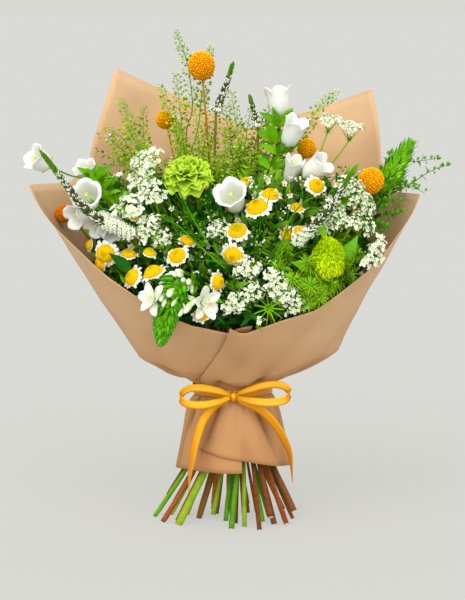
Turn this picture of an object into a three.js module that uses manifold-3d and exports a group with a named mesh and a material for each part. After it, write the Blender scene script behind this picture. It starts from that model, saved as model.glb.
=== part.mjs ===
// A mixed flower bouquet, hand tied, in two sheets of kraft paper with a ribbon bow.
// Millimetres. +Z is up and the front of the bunch faces -Y. The bunch stands on its cut stems: the
// stem in the middle of the tie has its cut end at the origin.
import * as THREE from 'three';
import { mergeVertices } from 'three/addons/utils/BufferGeometryUtils.js';
import Module from 'manifold-3d';

const wasm = await Module();
wasm.setup();

// ---- Driving dimensions -------------------------------------------------------------------------

const WAIST_HEIGHT = 147; // where the twine and the ribbon hold the stems
const SLOT_RADIUS = 30; // half the width of the tied stems
const FOOT_SPREAD = 2.1; // how far the stems splay between the tie and the floor
const HEAD_SPREAD = 0.0246; // the same above the tie, for each millimetre of height
const FOOT_TWIST = 22; // degrees that the stems turn between the tie and the floor
const STEM_GAP = 1.1; // free space between two stems in the tie
const CLEARANCE = 0.6; // how far a piece's corners are moved out to keep its neighbours clear
const BUNCH_MIDDLE = [0, 20, 285]; // flowers face away from this point
const GOLDEN = Math.PI * (3 - Math.sqrt(5)); // the angle between one leaf or floret and the next

const PAPER = {
  thickness: 0.8,
  layer: 2.6, // from the middle of the inner sheet to the middle of the outer one
  waistTop: 155.5,
  waistBottom: 138,
  waistRadius: 38.5,
  hemGrowth: 24, // how much wider the skirt is at its hem
  skirtDrop: 87, // height of the skirt
  step: 10, // degrees between two columns of the sheet
};
// The wall of the collar: azimuth, radius and height of the crease, and outward lean above it.
const WALL = [
  [10, 113, 190, 0.37],
  [40, 108, 190, 0.35],
  [60, 98, 186, 0.27],
  [90, 84, 180, 0.28],
  [140, 97, 180, 0.25],
  [160, 101, 179, 0.36],
  [190, 103, 178, 0.63],
  [215, 92, 175, 0.785],
  [240, 72, 168, 0.9],
  [270, 58, 160, 0.95],
  [310, 72, 168, 0.82],
  [330, 94, 182, 0.69],
  [350, 112, 188, 0.53],
];
// Height of each sheet's top edge and hem against the azimuth.
const LEFT_RIM = [[70, 405], [140, 491], [160, 380], [170, 366], [190, 365], [200, 340], [210, 312],
  [220, 279], [230, 254], [240, 237], [250, 227], [270, 217], [280, 214]];
const RIGHT_RIM = [[269, 224], [284, 226], [310, 242], [330, 280], [335, 297], [350, 360], [370, 358],
  [385, 390], [400, 468], [418, 443], [446, 421], [460, 405]];
const LEFT_HEM = [[70, 56], [180, 53], [215, 58], [280, 58]];
const RIGHT_HEM = [[230, 82], [278, 72], [320, 62], [360, 56], [460, 58]];
const RIGHT_FRONT_LEAN = 39; // degrees that the outer sheet's front edge swings between waist and rim

// ---- Colours ------------------------------------------------------------------------------------

const finish = (color, roughness) => ({ color, roughness, metalness: 0 });
const FINISH = {
  kraft: finish(0xb98a62, 0.85),
  ribbon: finish(0xe0a02a, 0.4),
  twine: finish(0xb8a27a, 0.9),
  stem: finish(0x5f8f35, 0.6),
  woodyStem: finish(0x7a4a2c, 0.8),
  craspedia: finish(0xe98f1c, 0.9),
  bell: finish(0xf4f3ee, 0.6),
  feverfew: finish(0xf0d24a, 0.8),
  carnation: finish(0xc3dc7c, 0.7),
  trick: finish(0x8fc22e, 0.9),
  star: finish(0xfafaf4, 0.6),
  bud: finish(0x8cc24a, 0.6),
  veronica: finish(0x6d7a6b, 0.8),
  lace: finish(0xeef0e4, 0.8),
  pod: finish(0x7e9f44, 0.7),
  leaf: finish(0x3f6f2c, 0.6),
  feather: finish(0x6fae35, 0.7),
};

// ---- Small helpers ------------------------------------------------------------------------------

const UP = new THREE.Vector3(0, 0, 1);
const radians = THREE.MathUtils.degToRad;

function vec(list) {
  return new THREE.Vector3(...list);
}

/** A stream of numbers from 0 to 1 that is the same each time. */
function drawsFrom(seed) {
  let state = seed >>> 0;
  return () => {
    state = (Math.imul(state, 1664525) + 1013904223) >>> 0;
    return state / 4294967296;
  };
}

/** Straight runs between stations [angle, value]. */
function along(stations, angle) {
  const next = stations.findIndex((station) => station[0] >= angle);
  if (next === 0) {
    return stations[0][1];
  }
  if (next === -1) {
    return stations[stations.length - 1][1];
  }
  const [fromAngle, fromValue] = stations[next - 1];
  const [toAngle, toValue] = stations[next];
  return fromValue + ((toValue - fromValue) * (angle - fromAngle)) / (toAngle - fromAngle);
}

/** A smooth closed run of one column of stations [angle, ...values]. */
function around(stations, column, angle) {
  const count = stations.length;
  const first = stations[0][0];
  const turned = first + ((((angle - first) % 360) + 360) % 360);
  const station = (index) => {
    const row = stations[((index % count) + count) % count];
    return { angle: row[0] + 360 * Math.floor(index / count), value: row[column] };
  };
  let index = count - 1;
  while (station(index).angle > turned) {
    index -= 1;
  }
  const [a, b, c, d] = [-1, 0, 1, 2].map((shift) => station(index + shift));
  const span = c.angle - b.angle;
  const t = (turned - b.angle) / span;
  const slopeB = ((c.value - a.value) / (c.angle - a.angle)) * span;
  const slopeC = ((d.value - b.value) / (d.angle - b.angle)) * span;
  const t2 = t * t;
  const t3 = t2 * t;
  return (2 * t3 - 3 * t2 + 1) * b.value + (t3 - 2 * t2 + t) * slopeB
    + (3 * t2 - 2 * t3) * c.value + (t3 - t2) * slopeC;
}

/** The mesh with only its points, each held once, and with its faces turned outward. */
function bare(geometry) {
  geometry.deleteAttribute('normal');
  geometry.deleteAttribute('uv');
  const mesh = mergeVertices(geometry, 1e-4);
  const corners = [new THREE.Vector3(), new THREE.Vector3(), new THREE.Vector3()];
  const faces = mesh.index.array;
  let volume = 0;
  for (let i = 0; i < faces.length; i += 3) {
    corners.forEach((corner, k) => corner.fromBufferAttribute(mesh.attributes.position, faces[i + k]));
    volume += corners[0].dot(corners[1].cross(corners[2]));
  }
  if (volume < 0) {
    for (let i = 0; i < faces.length; i += 3) {
      [faces[i], faces[i + 1]] = [faces[i + 1], faces[i]];
    }
  }
  return mesh;
}

/** A closed mesh whose points are moved by a formula. */
function shaped(geometry, move) {
  const mesh = bare(geometry);
  const position = mesh.attributes.position;
  const point = new THREE.Vector3();
  for (let i = 0; i < position.count; i += 1) {
    point.fromBufferAttribute(position, i);
    move(point, i);
    position.setXYZ(i, point.x, point.y, point.z);
  }
  return bare(mesh);
}

/** Turns a shape's +Z to a direction and sets it at a point. */
function aimed(geometry, at, facing, spin = 0) {
  const turn = new THREE.Quaternion().setFromUnitVectors(UP, facing.clone().normalize());
  return geometry.rotateZ(spin).applyQuaternion(turn).translate(at.x, at.y, at.z);
}

/** Sets a blade with its root at a point, running one way, with its upper face another way. */
function posed(geometry, root, run, up) {
  const x = run.clone().normalize();
  const y = new THREE.Vector3().crossVectors(up, x).normalize();
  const z = new THREE.Vector3().crossVectors(x, y);
  return geometry.applyMatrix4(new THREE.Matrix4().makeBasis(x, y, z).setPosition(root));
}

/** The direction that a flower at a point faces: away from the middle of the bunch. */
function outward(point) {
  return point.clone().sub(vec(BUNCH_MIDDLE)).normalize();
}

function solidOf(mesh) {
  return new wasm.Manifold(new wasm.Mesh({
    numProp: 3,
    vertProperties: new Float32Array(mesh.attributes.position.array),
    triVerts: new Uint32Array(mesh.index.array),
  }));
}

/** The mesh with each point moved out from its faces, for the space that a neighbour keeps to. */
function grown(mesh) {
  const fat = mesh.clone();
  const { position } = fat.attributes;
  const faces = fat.index.array;
  const away = Array.from({ length: position.count }, () => new THREE.Vector3());
  const face = new THREE.Triangle();
  const normal = new THREE.Vector3();
  for (let i = 0; i < faces.length; i += 3) {
    face.setFromAttributeAndIndices(position, faces[i], faces[i + 1], faces[i + 2]);
    face.getNormal(normal);
    for (let k = 0; k < 3; k += 1) {
      away[faces[i + k]].add(normal);
    }
  }
  away.forEach((way, i) => {
    way.setLength(CLEARANCE);
    position.setXYZ(i, position.getX(i) + way.x, position.getY(i) + way.y, position.getZ(i) + way.z);
  });
  return fat;
}

// ---- Basic forms --------------------------------------------------------------------------------

/** A smooth curve that is divided at the points it is drawn through, not by its length. */
function curveThrough(points) {
  const curve = new THREE.CatmullRomCurve3(points);
  curve.getUtoTmapping = (share) => share;
  return curve;
}

/** The straight runs between points, to find places along a thin stalk. */
function runsThrough(points) {
  const path = new THREE.CurvePath();
  points.slice(1).forEach((point, i) => path.add(new THREE.LineCurve3(points[i], point)));
  return path;
}

/** A section of a few points drawn along a smooth curve, with a few steps between its points. */
function drawnAlong(section, points, stepsBetween = 1) {
  const outline = new THREE.Shape(section.map(([x, y]) => new THREE.Vector2(x, y)));
  const steps = (points.length - 1) * stepsBetween;
  const extrudePath = curveThrough(points);
  return bare(new THREE.ExtrudeGeometry(outline, { steps, bevelEnabled: false, extrudePath }));
}

function tube(points, radius, sides, stepsBetween = 1) {
  const section = [];
  for (let k = 0; k < sides; k += 1) {
    const angle = (k * 2 * Math.PI) / sides;
    section.push([radius * Math.cos(angle), radius * Math.sin(angle)]);
  }
  return drawnAlong(section, points, stepsBetween);
}

/** A leaf or petal from its root at the origin along +X, thickest in the middle, upper face +Z. */
function blade(length, width, thickness, points = 6, arch = 0) {
  return shaped(new THREE.SphereGeometry(1, points, 2).rotateX(Math.PI / 2), (point) => {
    const run = (1 + point.x) / 2;
    point.set(run * length, (point.y * width) / 2, (point.z * thickness) / 2 - arch * run * run);
  });
}

/** A thin disc with lobes round its edge, facing +Z. */
function lobedDisc(lobes, inner, outer, thickness, cup, pointsPerLobe = 2) {
  const ring = new THREE.SphereGeometry(1, lobes * pointsPerLobe, 2).rotateX(Math.PI / 2);
  return shaped(ring, (point) => {
    if (Math.abs(point.z) > 0.5) {
      point.set(0, 0, (point.z * thickness) / 2);
      return;
    }
    const angle = Math.atan2(point.y, point.x);
    const radius = inner + (outer - inner) * (0.5 + 0.5 * Math.cos(lobes * angle));
    point.set(radius * Math.cos(angle), radius * Math.sin(angle), cup);
  });
}

/** A floret of a few sides at a point, drawn out below into its stalk, which starts at a root. */
function trumpet(root, at, radius, spin, sides) {
  const way = at.clone().sub(root);
  const form = shaped(new THREE.SphereGeometry(1, sides, 2).rotateX(Math.PI / 2), (point) => {
    if (Math.abs(point.z) > 0.5) {
      point.set(0, 0, point.z > 0 ? 0.9 : -way.length());
    } else {
      point.set(point.x * radius, point.y * radius, 0);
    }
  });
  return aimed(form, at, way, spin);
}

/** A bud on its stalk, from the origin along +X. */
function bud(length, width, thickness) {
  return shaped(new THREE.OctahedronGeometry(1), (point) => {
    point.set(((1 + point.x) / 2) * length, (point.y * width) / 2, (point.z * thickness) / 2);
  });
}

/** A flat triangular pod on its stalk, from the origin along +X. */
function pod(length, width, thickness) {
  return shaped(new THREE.SphereGeometry(1, 3, 2).rotateX(Math.PI / 2), (point) => {
    const run = point.x < -0.9 ? 0 : (point.x + 2.4) / 2.9;
    point.set(run * length, (point.y * width) / 1.7, (point.z * thickness) / 2);
  });
}

/** A tapered flower spike along a curve, with its florets as relief. */
function spike(points, rootRadius, tipRadius, sides, steps, relief) {
  const curve = new THREE.CatmullRomCurve3(points);
  const frames = curve.computeFrenetFrames(steps, false);
  const cylinder = new THREE.CylinderGeometry(1, 1, 1, sides, steps);
  return shaped(cylinder, (point) => {
    const t = Math.min(1, Math.max(0, point.y + 0.5));
    const ring = Math.round(t * steps);
    const angle = Math.atan2(point.z, point.x);
    const onAxis = Math.hypot(point.x, point.z) < 0.1;
    const raised = 1 + relief * (Math.round((angle * sides) / Math.PI / 2 + ring) % 2 === 0 ? 1 : -1);
    const radius = onAxis ? 0 : (rootRadius + (tipRadius - rootRadius) * t) * raised;
    point.copy(curve.getPointAt(t))
      .addScaledVector(frames.normals[ring], radius * Math.cos(angle))
      .addScaledVector(frames.binormals[ring], radius * Math.sin(angle));
  });
}

/** A flat plate divided into cells, its two faces along the same diagonals. */
function plate(columns, rows) {
  const box = new THREE.BoxGeometry(1, 1, 1, columns, rows, 1);
  const { start, count } = box.groups[5];
  const faces = box.index.array;
  for (let i = start; i < start + count; i += 6) {
    const [a, b, d, , c] = faces.slice(i, i + 6);
    faces.set([a, b, c, a, c, d], i);
  }
  return box;
}

/** A strip of ribbon along a curve, with its width toward a side at each end. */
function strip(points, width, thickness, steps, sideFrom, sideTo = sideFrom) {
  const curve = new THREE.CatmullRomCurve3(points);
  return shaped(plate(steps, 1), (point) => {
    const t = Math.min(1, Math.max(0, point.x + 0.5));
    const run = curve.getTangentAt(t);
    const side = vec(sideFrom).lerp(vec(sideTo), t);
    side.addScaledVector(run, -side.dot(run)).normalize();
    const face = new THREE.Vector3().crossVectors(run, side);
    const half = point.y * width;
    const depth = point.z * thickness;
    point.copy(curve.getPointAt(t)).addScaledVector(side, half).addScaledVector(face, depth);
  });
}

// ---- Paper sheets -------------------------------------------------------------------------------

/** Radius of the wrap at an azimuth and height, without its pleats. */
function wrapRadius(azimuth, z) {
  const creaseRadius = around(WALL, 1, azimuth);
  const creaseHeight = around(WALL, 2, azimuth);
  if (z >= creaseHeight) {
    return creaseRadius + around(WALL, 3, azimuth) * (z - creaseHeight);
  }
  if (z > PAPER.waistTop) {
    const rise = (z - PAPER.waistTop) / (creaseHeight - PAPER.waistTop);
    return PAPER.waistRadius + (creaseRadius - PAPER.waistRadius) * rise ** 0.6;
  }
  if (z > PAPER.waistBottom) {
    return PAPER.waistRadius;
  }
  return PAPER.waistRadius + PAPER.hemGrowth * ((PAPER.waistBottom - z) / PAPER.skirtDrop) ** 0.6;
}

/** A point on the wrap, moved out from its middle surface by an offset that runs out and down. */
function wrapPoint(azimuth, z, offset, [out, down]) {
  const pleatDepth = 1.8 * Math.exp(-(((z - 84) / 42) ** 2));
  const pleat = pleatDepth * Math.sin(radians(12 * azimuth + 20));
  const radius = wrapRadius(azimuth, z) + pleat + offset * out;
  const angle = radians(azimuth);
  return vec([radius * Math.cos(angle), radius * Math.sin(angle), z - offset * down]);
}

/** One sheet, from its top edge through the crease and the waist to its hem. */
function paperSheet(from, to, rim, hem, layer, frontLean) {
  const columns = Math.round((to - from) / PAPER.step);
  const rows = 6;
  return shaped(plate(columns, rows), (point) => {
    const row = Math.round((point.y + 0.5) * rows);
    const column = Math.round((point.x + 0.5) * columns);
    const grid = from + column * PAPER.step;
    const leanHere = frontLean * Math.max(0, 1 - column / 6);
    const crease = around(WALL, 2, grid);
    const top = along(rim, grid + leanHere);
    const shelf = PAPER.waistTop + (crease - PAPER.waistTop) * 0.4;
    const heights = [along(hem, grid), 112, PAPER.waistBottom, PAPER.waistTop, shelf, crease, top];
    const ways = [[1, 0], [1, 0.1], [1, 0.2], [1, 1], [0.6, 1.1], [1, 0.7], [1, 0.4]];
    const z = heights[row];
    const swing = Math.max(0, (z - PAPER.waistTop) / (top - PAPER.waistTop));
    const azimuth = grid + leanHere * swing;
    point.copy(wrapPoint(azimuth, z, layer + point.z * PAPER.thickness, ways[row]));
  });
}

// ---- Stems --------------------------------------------------------------------------------------

// Every stem: its name, the point where its head or first branch starts, its radius, and whether it is
// woody. The first one runs through the middle of the tie.
const STEMS = [
  ['campanula_stem_right', [48, 2, 405], 2.9],
  ['craspedia_stem_1', [-33, 19, 482], 1.6],
  ['craspedia_stem_2', [-72, 38, 429], 1.3],
  ['craspedia_stem_3', [-176, -18, 333], 1.3],
  ['craspedia_stem_4', [144, -36, 364], 1.6],
  ['craspedia_stem_5', [79, -4, 400], 1.3],
  ['campanula_stem_left', [-122, -60, 345], 3.1],
  ['campanula_stem_centre', [8, -66, 330], 2],
  ['feverfew_spray_centre', [26, -62, 292], 2.2],
  ['feverfew_spray_right', [84, -44, 338], 1.8],
  ['feverfew_spray_left', [-112, -64, 268], 2],
  ['feverfew_spray_front', [-72, -78, 250], 2.2],
  ['carnation_stem', [-47, -66, 362], 2.6],
  ['green_trick', [92, -82, 278], 2.6],
  ['ornithogalum_front', [-36, -80, 242], 3.4],
  ['ornithogalum_right', [152, -18, 348], 2.6],
  ['veronica_left', [-96, -86, 300], 1.8],
  ['veronica_top', [-18, 0, 446], 1.7],
  ['veronica_small', [28, -12, 430], 1.4],
  ['veronica_right', [52, -84, 288], 2],
  ['lace_left', [-78, -50, 330], 2.2],
  ['lace_right', [106, -48, 306], 2.6],
  ['lace_edge', [124, -58, 272], 2],
  ['lace_low', [30, -74, 240], 2.4],
  ['lace_top', [84, 6, 380], 2],
  ['lace_back', [0, 84, 330], 2.4],
  ['thlaspi_left', [-52, 28, 410], 1.5, 'woody'],
  ['thlaspi_far_left', [-96, 24, 390], 1.4, 'woody'],
  ['thlaspi_centre', [12, 6, 404], 1.5, 'woody'],
  ['vine', [124, 6, 328], 1.6, 'woody'],
  ['feathery_green', [78, -74, 246], 2],
  ['grass', [-52, -34, 300], 1.8],
  ['dark_leaves_left', [-62, 66, 300], 2.4, 'woody'],
  ['dark_leaves_right', [64, 72, 300], 2.4, 'woody'],
  ['waxflower', [-16, -56, 300], 2, 'woody'],
  ['front_leaves', [-52, -66, 256], 2, 'woody'],
];

/** Where a point above the tie comes from, if all stems only fanned out. */
function tracedSlot([x, y, z]) {
  const spread = 1 + HEAD_SPREAD * (z - WAIST_HEIGHT);
  return new THREE.Vector2(x / spread, y / spread);
}

/** The stems' places in the tie, pushed apart until none touches another. */
function stemSlots() {
  const slots = STEMS.map(([, neck]) => tracedSlot(neck));
  slots[0].set(0, 0);
  for (let round = 0; round < 600; round += 1) {
    for (let i = 0; i < slots.length; i += 1) {
      for (let j = 0; j < i; j += 1) {
        const apart = slots[i].clone().sub(slots[j]);
        const need = STEMS[i][2] + STEMS[j][2] + STEM_GAP;
        const push = (need - apart.length()) / 2;
        if (push > 0) {
          apart.setLength(push);
          slots[i].add(apart);
          slots[j].sub(apart);
        }
      }
    }
    slots.forEach((slot, i) => slot.clampLength(0, SLOT_RADIUS - STEMS[i][2]));
    slots[0].set(0, 0);
  }
  return slots;
}

const SLOTS = stemSlots();

/** The point at a height on the line that all stems of the bunch follow from one slot. */
function stemLine(slot, z) {
  const below = Math.max(0, (WAIST_HEIGHT - z) / WAIST_HEIGHT);
  const above = Math.max(0, z - WAIST_HEIGHT);
  const spread = 1 + FOOT_SPREAD * below * below + HEAD_SPREAD * above;
  const point = slot.clone().multiplyScalar(spread);
  point.rotateAround(new THREE.Vector2(), radians(-FOOT_TWIST * below));
  return vec([point.x, point.y, z]);
}

/** Height of each stem's cut end. Some were cut shorter and hang free, but never the middle one. */
function stemFeet() {
  const draw = drawsFrom(7);
  return SLOTS.map((slot, index) => {
    const short = draw() < 0.42 ? draw() : 0;
    if (index === 0) {
      return 0;
    }
    return slot.length() > 18 ? short * 22 : short * 6;
  });
}

const FEET = stemFeet();

/** The stem's points from its foot, through its place in the tie, to its neck. */
function stemPoints(name) {
  const index = STEMS.findIndex((row) => row[0] === name);
  const neck = vec(STEMS[index][1]);
  const slot = SLOTS[index];
  const foot = FEET[index] > 1 ? FEET[index] : -4;
  const lean = neck.clone().sub(stemLine(slot, neck.z));
  const points = [foot, 76, WAIST_HEIGHT].map((z) => stemLine(slot, z));
  for (const t of [0.3, 0.65, 1]) {
    const z = WAIST_HEIGHT + (neck.z - WAIST_HEIGHT) * t;
    points.push(stemLine(slot, z).addScaledVector(lean, t * t));
  }
  return points;
}

/** A stem from the floor to its neck and on through more points. */
function stem(name, beyond = []) {
  const [, , radius] = STEMS.find((row) => row[0] === name);
  return tube([...stemPoints(name), ...beyond.map(vec)], radius, radius < 2.3 ? 4 : 5);
}

function neckOf(name) {
  return vec(STEMS.find((row) => row[0] === name)[1]);
}

/** The point inside a stem where one of its branches starts, each a little lower than the last. */
function branchRoot(name, order) {
  return runsThrough(stemPoints(name)).getPoint(0.985 - 0.03 * order);
}

/** A thin stalk from a stem to a flower, bowed a little. */
function stalk(from, to, radius, sides = 3) {
  const middle = from.clone().lerp(to, 0.5);
  middle.z -= from.distanceTo(to) * 0.08;
  return tube([from, middle, to], radius, sides);
}

// ---- Flowers and leaves -------------------------------------------------------------------------
// Each function gives parts: frame is what has to stay whole, petals are cut where they would touch a
// neighbour, and sprigs are left out where they would.

function craspedia(number, centre, radius, detail) {
  const at = vec(centre);
  const bumps = drawsFrom(number);
  const ball = shaped(new THREE.IcosahedronGeometry(1, detail), (point) => {
    point.multiplyScalar(radius * (1 + 0.07 * (bumps() - 0.5)));
    point.z *= 1.12;
  });
  const name = `craspedia_stem_${number}`;
  const inBall = neckOf(name).lerp(at, 0.35);
  return [
    { name, finish: FINISH.stem, frame: [stem(name, [inBall.toArray()])] },
    {
      name: `craspedia_head_${number}`,
      finish: FINISH.craspedia,
      petals: [aimed(ball, at, at.clone().sub(neckOf(name)))],
    },
  ];
}

/** A bell with five flared lobes, from its base at the origin along +Z. */
function bell(length, width) {
  const wall = 1.1;
  const outer = [[0, 0], [0.42, 0.14], [0.42, 0.62], [0.54, 1]];
  const profile = outer.map(([x, y]) => new THREE.Vector2(x * width, y * length));
  for (const [x, y] of outer.slice(2).reverse()) {
    profile.push(new THREE.Vector2(x * width - wall, y * length + (y < 1 ? 0 : 0.2)));
  }
  profile.push(new THREE.Vector2(0, 2.6));
  return shaped(new THREE.LatheGeometry(profile, 10).rotateX(Math.PI / 2), (point) => {
    const lobe = Math.cos(5 * Math.atan2(point.y, point.x));
    const flare = Math.max(0, point.z / length - 0.6) * 2.4;
    point.x *= 1 + 0.13 * lobe * flare;
    point.y *= 1 + 0.13 * lobe * flare;
    point.z += 0.1 * length * lobe * flare;
  });
}

// Campanula bells: stem, base, mouth, width.
const BELLS = [
  ['left', [-197, -62, 394], [-216, -74, 405], 25],
  ['left', [-161, -32, 380], [-168, -52, 400], 24],
  ['left', [-150, -66, 352], [-156, -92, 366], 26],
  ['left', [-157, -70, 340], [-178, -86, 333], 24],
  ['left', [-142, -66, 330], [-156, -84, 318], 22],
  ['left', [-121, -66, 327], [-127, -87, 312], 21],
  ['centre', [4, -76, 348], [-6, -102, 369], 30],
  ['right', [52, 5, 441], [49, 10, 471], 27],
  ['right', [60, -26, 414], [74, -36, 444], 26],
  ['right', [78, -50, 380], [103, -62, 398], 25],
  ['right', [56, -30, 378], [50, -50, 394], 20],
];
// More points of the campanula stems above their necks, and the leaves on them.
const CAMPANULA = {
  left: { beyond: [[-138, -58, 362], [-146, -60, 378]], leaves: 6, leafLength: 34 },
  centre: { beyond: [[5, -70, 341]], leaves: 2, leafLength: 26 },
  right: { beyond: [[51, 3, 431]], leaves: 6, leafLength: 32 },
};

function campanula(side) {
  const name = `campanula_stem_${side}`;
  const { beyond, leaves, leafLength } = CAMPANULA[side];
  const neck = neckOf(name);
  const line = runsThrough([...stemPoints(name), ...beyond.map(vec)]);
  const frame = [stem(name, beyond)];
  const bells = [];
  BELLS.forEach(([owner, base, mouth, width], index) => {
    if (owner !== side) {
      return;
    }
    const at = vec(base);
    const facing = vec(mouth).sub(at);
    const under = at.clone().addScaledVector(facing.clone().normalize(), -3.4);
    frame.push(stalk(nearestOn(line, at), under, 1));
    const calyx = bare(new THREE.ConeGeometry(3.6, 4, 5, 1).rotateX(-Math.PI / 2));
    frame.push(aimed(calyx, under, facing));
    bells.push({
      name: `campanula_bell_${index + 1}`,
      finish: FINISH.bell,
      petals: [aimed(bell(facing.length(), width), at, facing, index)],
    });
  });
  const sprigs = [];
  for (let k = 0; k < leaves; k += 1) {
    const t = 0.72 + (0.28 * (k + 0.5)) / leaves;
    const root = line.getPointAt(t);
    const sideways = vec([Math.cos(k * GOLDEN), Math.sin(k * GOLDEN), 0.7]);
    const leaf = blade(leafLength * (1 - 0.3 * (k / leaves)), leafLength * 0.3, 1.4, 5, 5);
    sprigs.push([posed(leaf, root, sideways, outward(neck).add(UP))]);
  }
  return [{ name, finish: FINISH.stem, frame, sprigs }, ...bells];
}

/** The point of a curve's upper part from which a stalk to a flower can branch. */
function nearestOn(curve, to) {
  let best = curve.getPointAt(1);
  for (let t = 0.7; t <= 1; t += 0.02) {
    const point = curve.getPointAt(t);
    if (point.distanceTo(to) + (point.z > to.z - 8 ? 60 : 0) < best.distanceTo(to)) {
      best = point;
    }
  }
  return best;
}

// Feverfew daisies: centre and radius of the ring of rays.
const DAISIES = {
  feverfew_spray_centre: [[26, -100, 350, 14], [40, -84, 362, 12], [5, -105, 326, 12],
    [1, -111, 301, 12], [68, -80, 348, 9], [58, -86, 321, 9], [-16, -114, 273, 11]],
  feverfew_spray_right: [[89, -71, 371, 11], [113, -58, 368, 8]],
  feverfew_spray_left: [[-134, -95, 301, 12], [-138, -88, 287, 10], [-107, -92, 298, 10],
    [-162, -66, 308, 7], [-106, -76, 338, 8]],
  feverfew_spray_front: [[-83, -112, 282, 13], [-105, -106, 277, 11], [-58, -109, 300, 12],
    [-48, -92, 314, 10], [-88, -97, 302, 9], [-33, -108, 240, 10]],
};

/** A daisy on its stalk: white rays round a yellow dome, facing +Z, with the stalk's root below. */
function daisy(radius, stalkLength) {
  const rays = 6;
  const rings = new THREE.SphereGeometry(1, rays * 2, 4).rotateX(Math.PI / 2);
  return shaped(rings, (point) => {
    const angle = Math.atan2(point.y, point.x);
    const ray = radius * (0.86 + 0.14 * Math.cos(rays * angle));
    const ring = Math.round((Math.acos(point.z) * 4) / Math.PI);
    const reach = [0, radius * 0.62, ray, 1, 0][ring];
    const height = [radius * 0.34, 0.8, -0.5, -2, -stalkLength][ring];
    point.set(reach * Math.cos(angle), reach * Math.sin(angle), height);
  });
}

function feverfew(name) {
  const frame = [stem(name)];
  DAISIES[name].forEach(([x, y, z, radius], index) => {
    const at = vec([x, y, z]);
    const root = branchRoot(name, index);
    const way = at.clone().sub(root);
    frame.push(aimed(daisy(radius, way.length()), at, way, x));
  });
  return [{ name, finish: FINISH.feverfew, frame }];
}

/** Lime carnation: frilled layers of petals, each smaller and higher than the one below. */
function carnation() {
  const name = 'carnation_stem';
  const base = neckOf(name);
  const centre = vec([-48, -72, 386]);
  const facing = centre.clone().sub(base).lerp(outward(centre).multiplyScalar(24), 0.45).normalize();
  const layers = [[8, 26, -5, -3], [8, 24, 0.5, 1], [7, 19, 6, 3], [5, 11, 11, 4]];
  const petals = layers.map(([lobes, reach, height, cup], layer) => {
    const ring = new THREE.SphereGeometry(1, lobes * 3, 2).rotateX(Math.PI / 2);
    const frill = shaped(ring, (point, index) => {
      if (Math.abs(point.z) > 0.5) {
        point.set(0, 0, height + point.z * 4);
        return;
      }
      const angle = Math.atan2(point.y, point.x);
      const radius = reach * (0.9 + 0.1 * Math.cos(lobes * angle));
      point.set(radius * Math.cos(angle), radius * Math.sin(angle), height + cup + 2.2 * (index % 2));
    });
    return aimed(frill, centre, facing, layer);
  });
  const calyx = shaped(new THREE.CylinderGeometry(6, 3, 14, 5, 1).rotateX(Math.PI / 2), () => {});
  petals.push(aimed(calyx, centre.clone().addScaledVector(facing, -12), facing));
  const frame = [stem(name, [centre.clone().addScaledVector(facing, -17).toArray()])];
  return [
    { name, finish: FINISH.stem, frame },
    { name: 'carnation_head', finish: FINISH.carnation, petals },
  ];
}

/** Green trick dianthus: a ball of fine pointed bracts. */
function greenTrick() {
  const name = 'green_trick';
  const centre = vec([98, -96, 297]);
  const prickles = drawsFrom(21);
  const ball = shaped(new THREE.IcosahedronGeometry(1, 3), (point) => {
    point.multiplyScalar(22 * (0.92 + 0.2 * prickles()));
  });
  const petals = [aimed(ball, centre, outward(centre))];
  return [{ name, finish: FINISH.trick, frame: [stem(name, [centre.toArray()])], petals }];
}

/** A cone of buds: closed ones as relief on its spike, and open ones standing out at its root. */
function budCone(points, openBuds, rootRadius, budLength) {
  const curve = new THREE.CatmullRomCurve3(points);
  const cone = [spike(points, rootRadius, 1, 6, 8, 0.2)];
  for (let k = 0; k < openBuds; k += 1) {
    const t = 0.03 + (0.4 * k) / openBuds;
    const run = curve.getTangentAt(t);
    const side = new THREE.Vector3().crossVectors(run, vec([1, 0.3, 0.2])).normalize();
    side.applyAxisAngle(run, k * GOLDEN);
    const open = blade(budLength + rootRadius, 6, 4.4, 4);
    cone.push(posed(open, curve.getPointAt(t), side.addScaledVector(run, 0.9), run));
  }
  return cone;
}

/** A six-pointed white star flower. */
function star(name, centre, facing, spin) {
  const at = vec(centre);
  const petals = [
    aimed(lobedDisc(6, 4, 20, 5, 2.6, 4), at, facing, spin),
  ];
  return { name, finish: FINISH.star, petals };
}

function ornithogalums() {
  const hanging = [[-44, -104, 268], [-52, -124, 266], [-60, -136, 248], [-64, -136, 226], [-66, -131, 208]];
  const leftStar = [-86, -130, 258];
  const rightStar = [-33, -130, 254];
  const shoulder = vec([-50, -118, 266]);
  const stars = [
    star('ornithogalum_star_left', leftStar, vec([-0.55, -0.8, 0.1]), 0.2),
    star('ornithogalum_star_right', rightStar, vec([0.45, -0.85, 0.15]), 0.5),
  ];
  const starStalks = [leftStar, rightStar].map((centre, index) => {
    const back = vec(centre).add(vec([index === 0 ? 2 : -2, 2.4, 0]));
    return stalk(shoulder, back, 1.1);
  });
  const hangingPoints = hanging.slice(1).map(vec);
  const upright = [[160, -15, 362], [176, -10, 385], [190, -5, 408]];
  return [
    {
      name: 'ornithogalum_front',
      finish: FINISH.bud,
      frame: [stem('ornithogalum_front', hanging), ...starStalks],
      petals: budCone(hangingPoints, 5, 9, 9),
    },
    ...stars,
    {
      name: 'ornithogalum_right',
      finish: FINISH.bud,
      frame: [stem('ornithogalum_right', upright)],
      petals: budCone(upright.map(vec), 4, 7, 8),
    },
  ];
}

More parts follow.
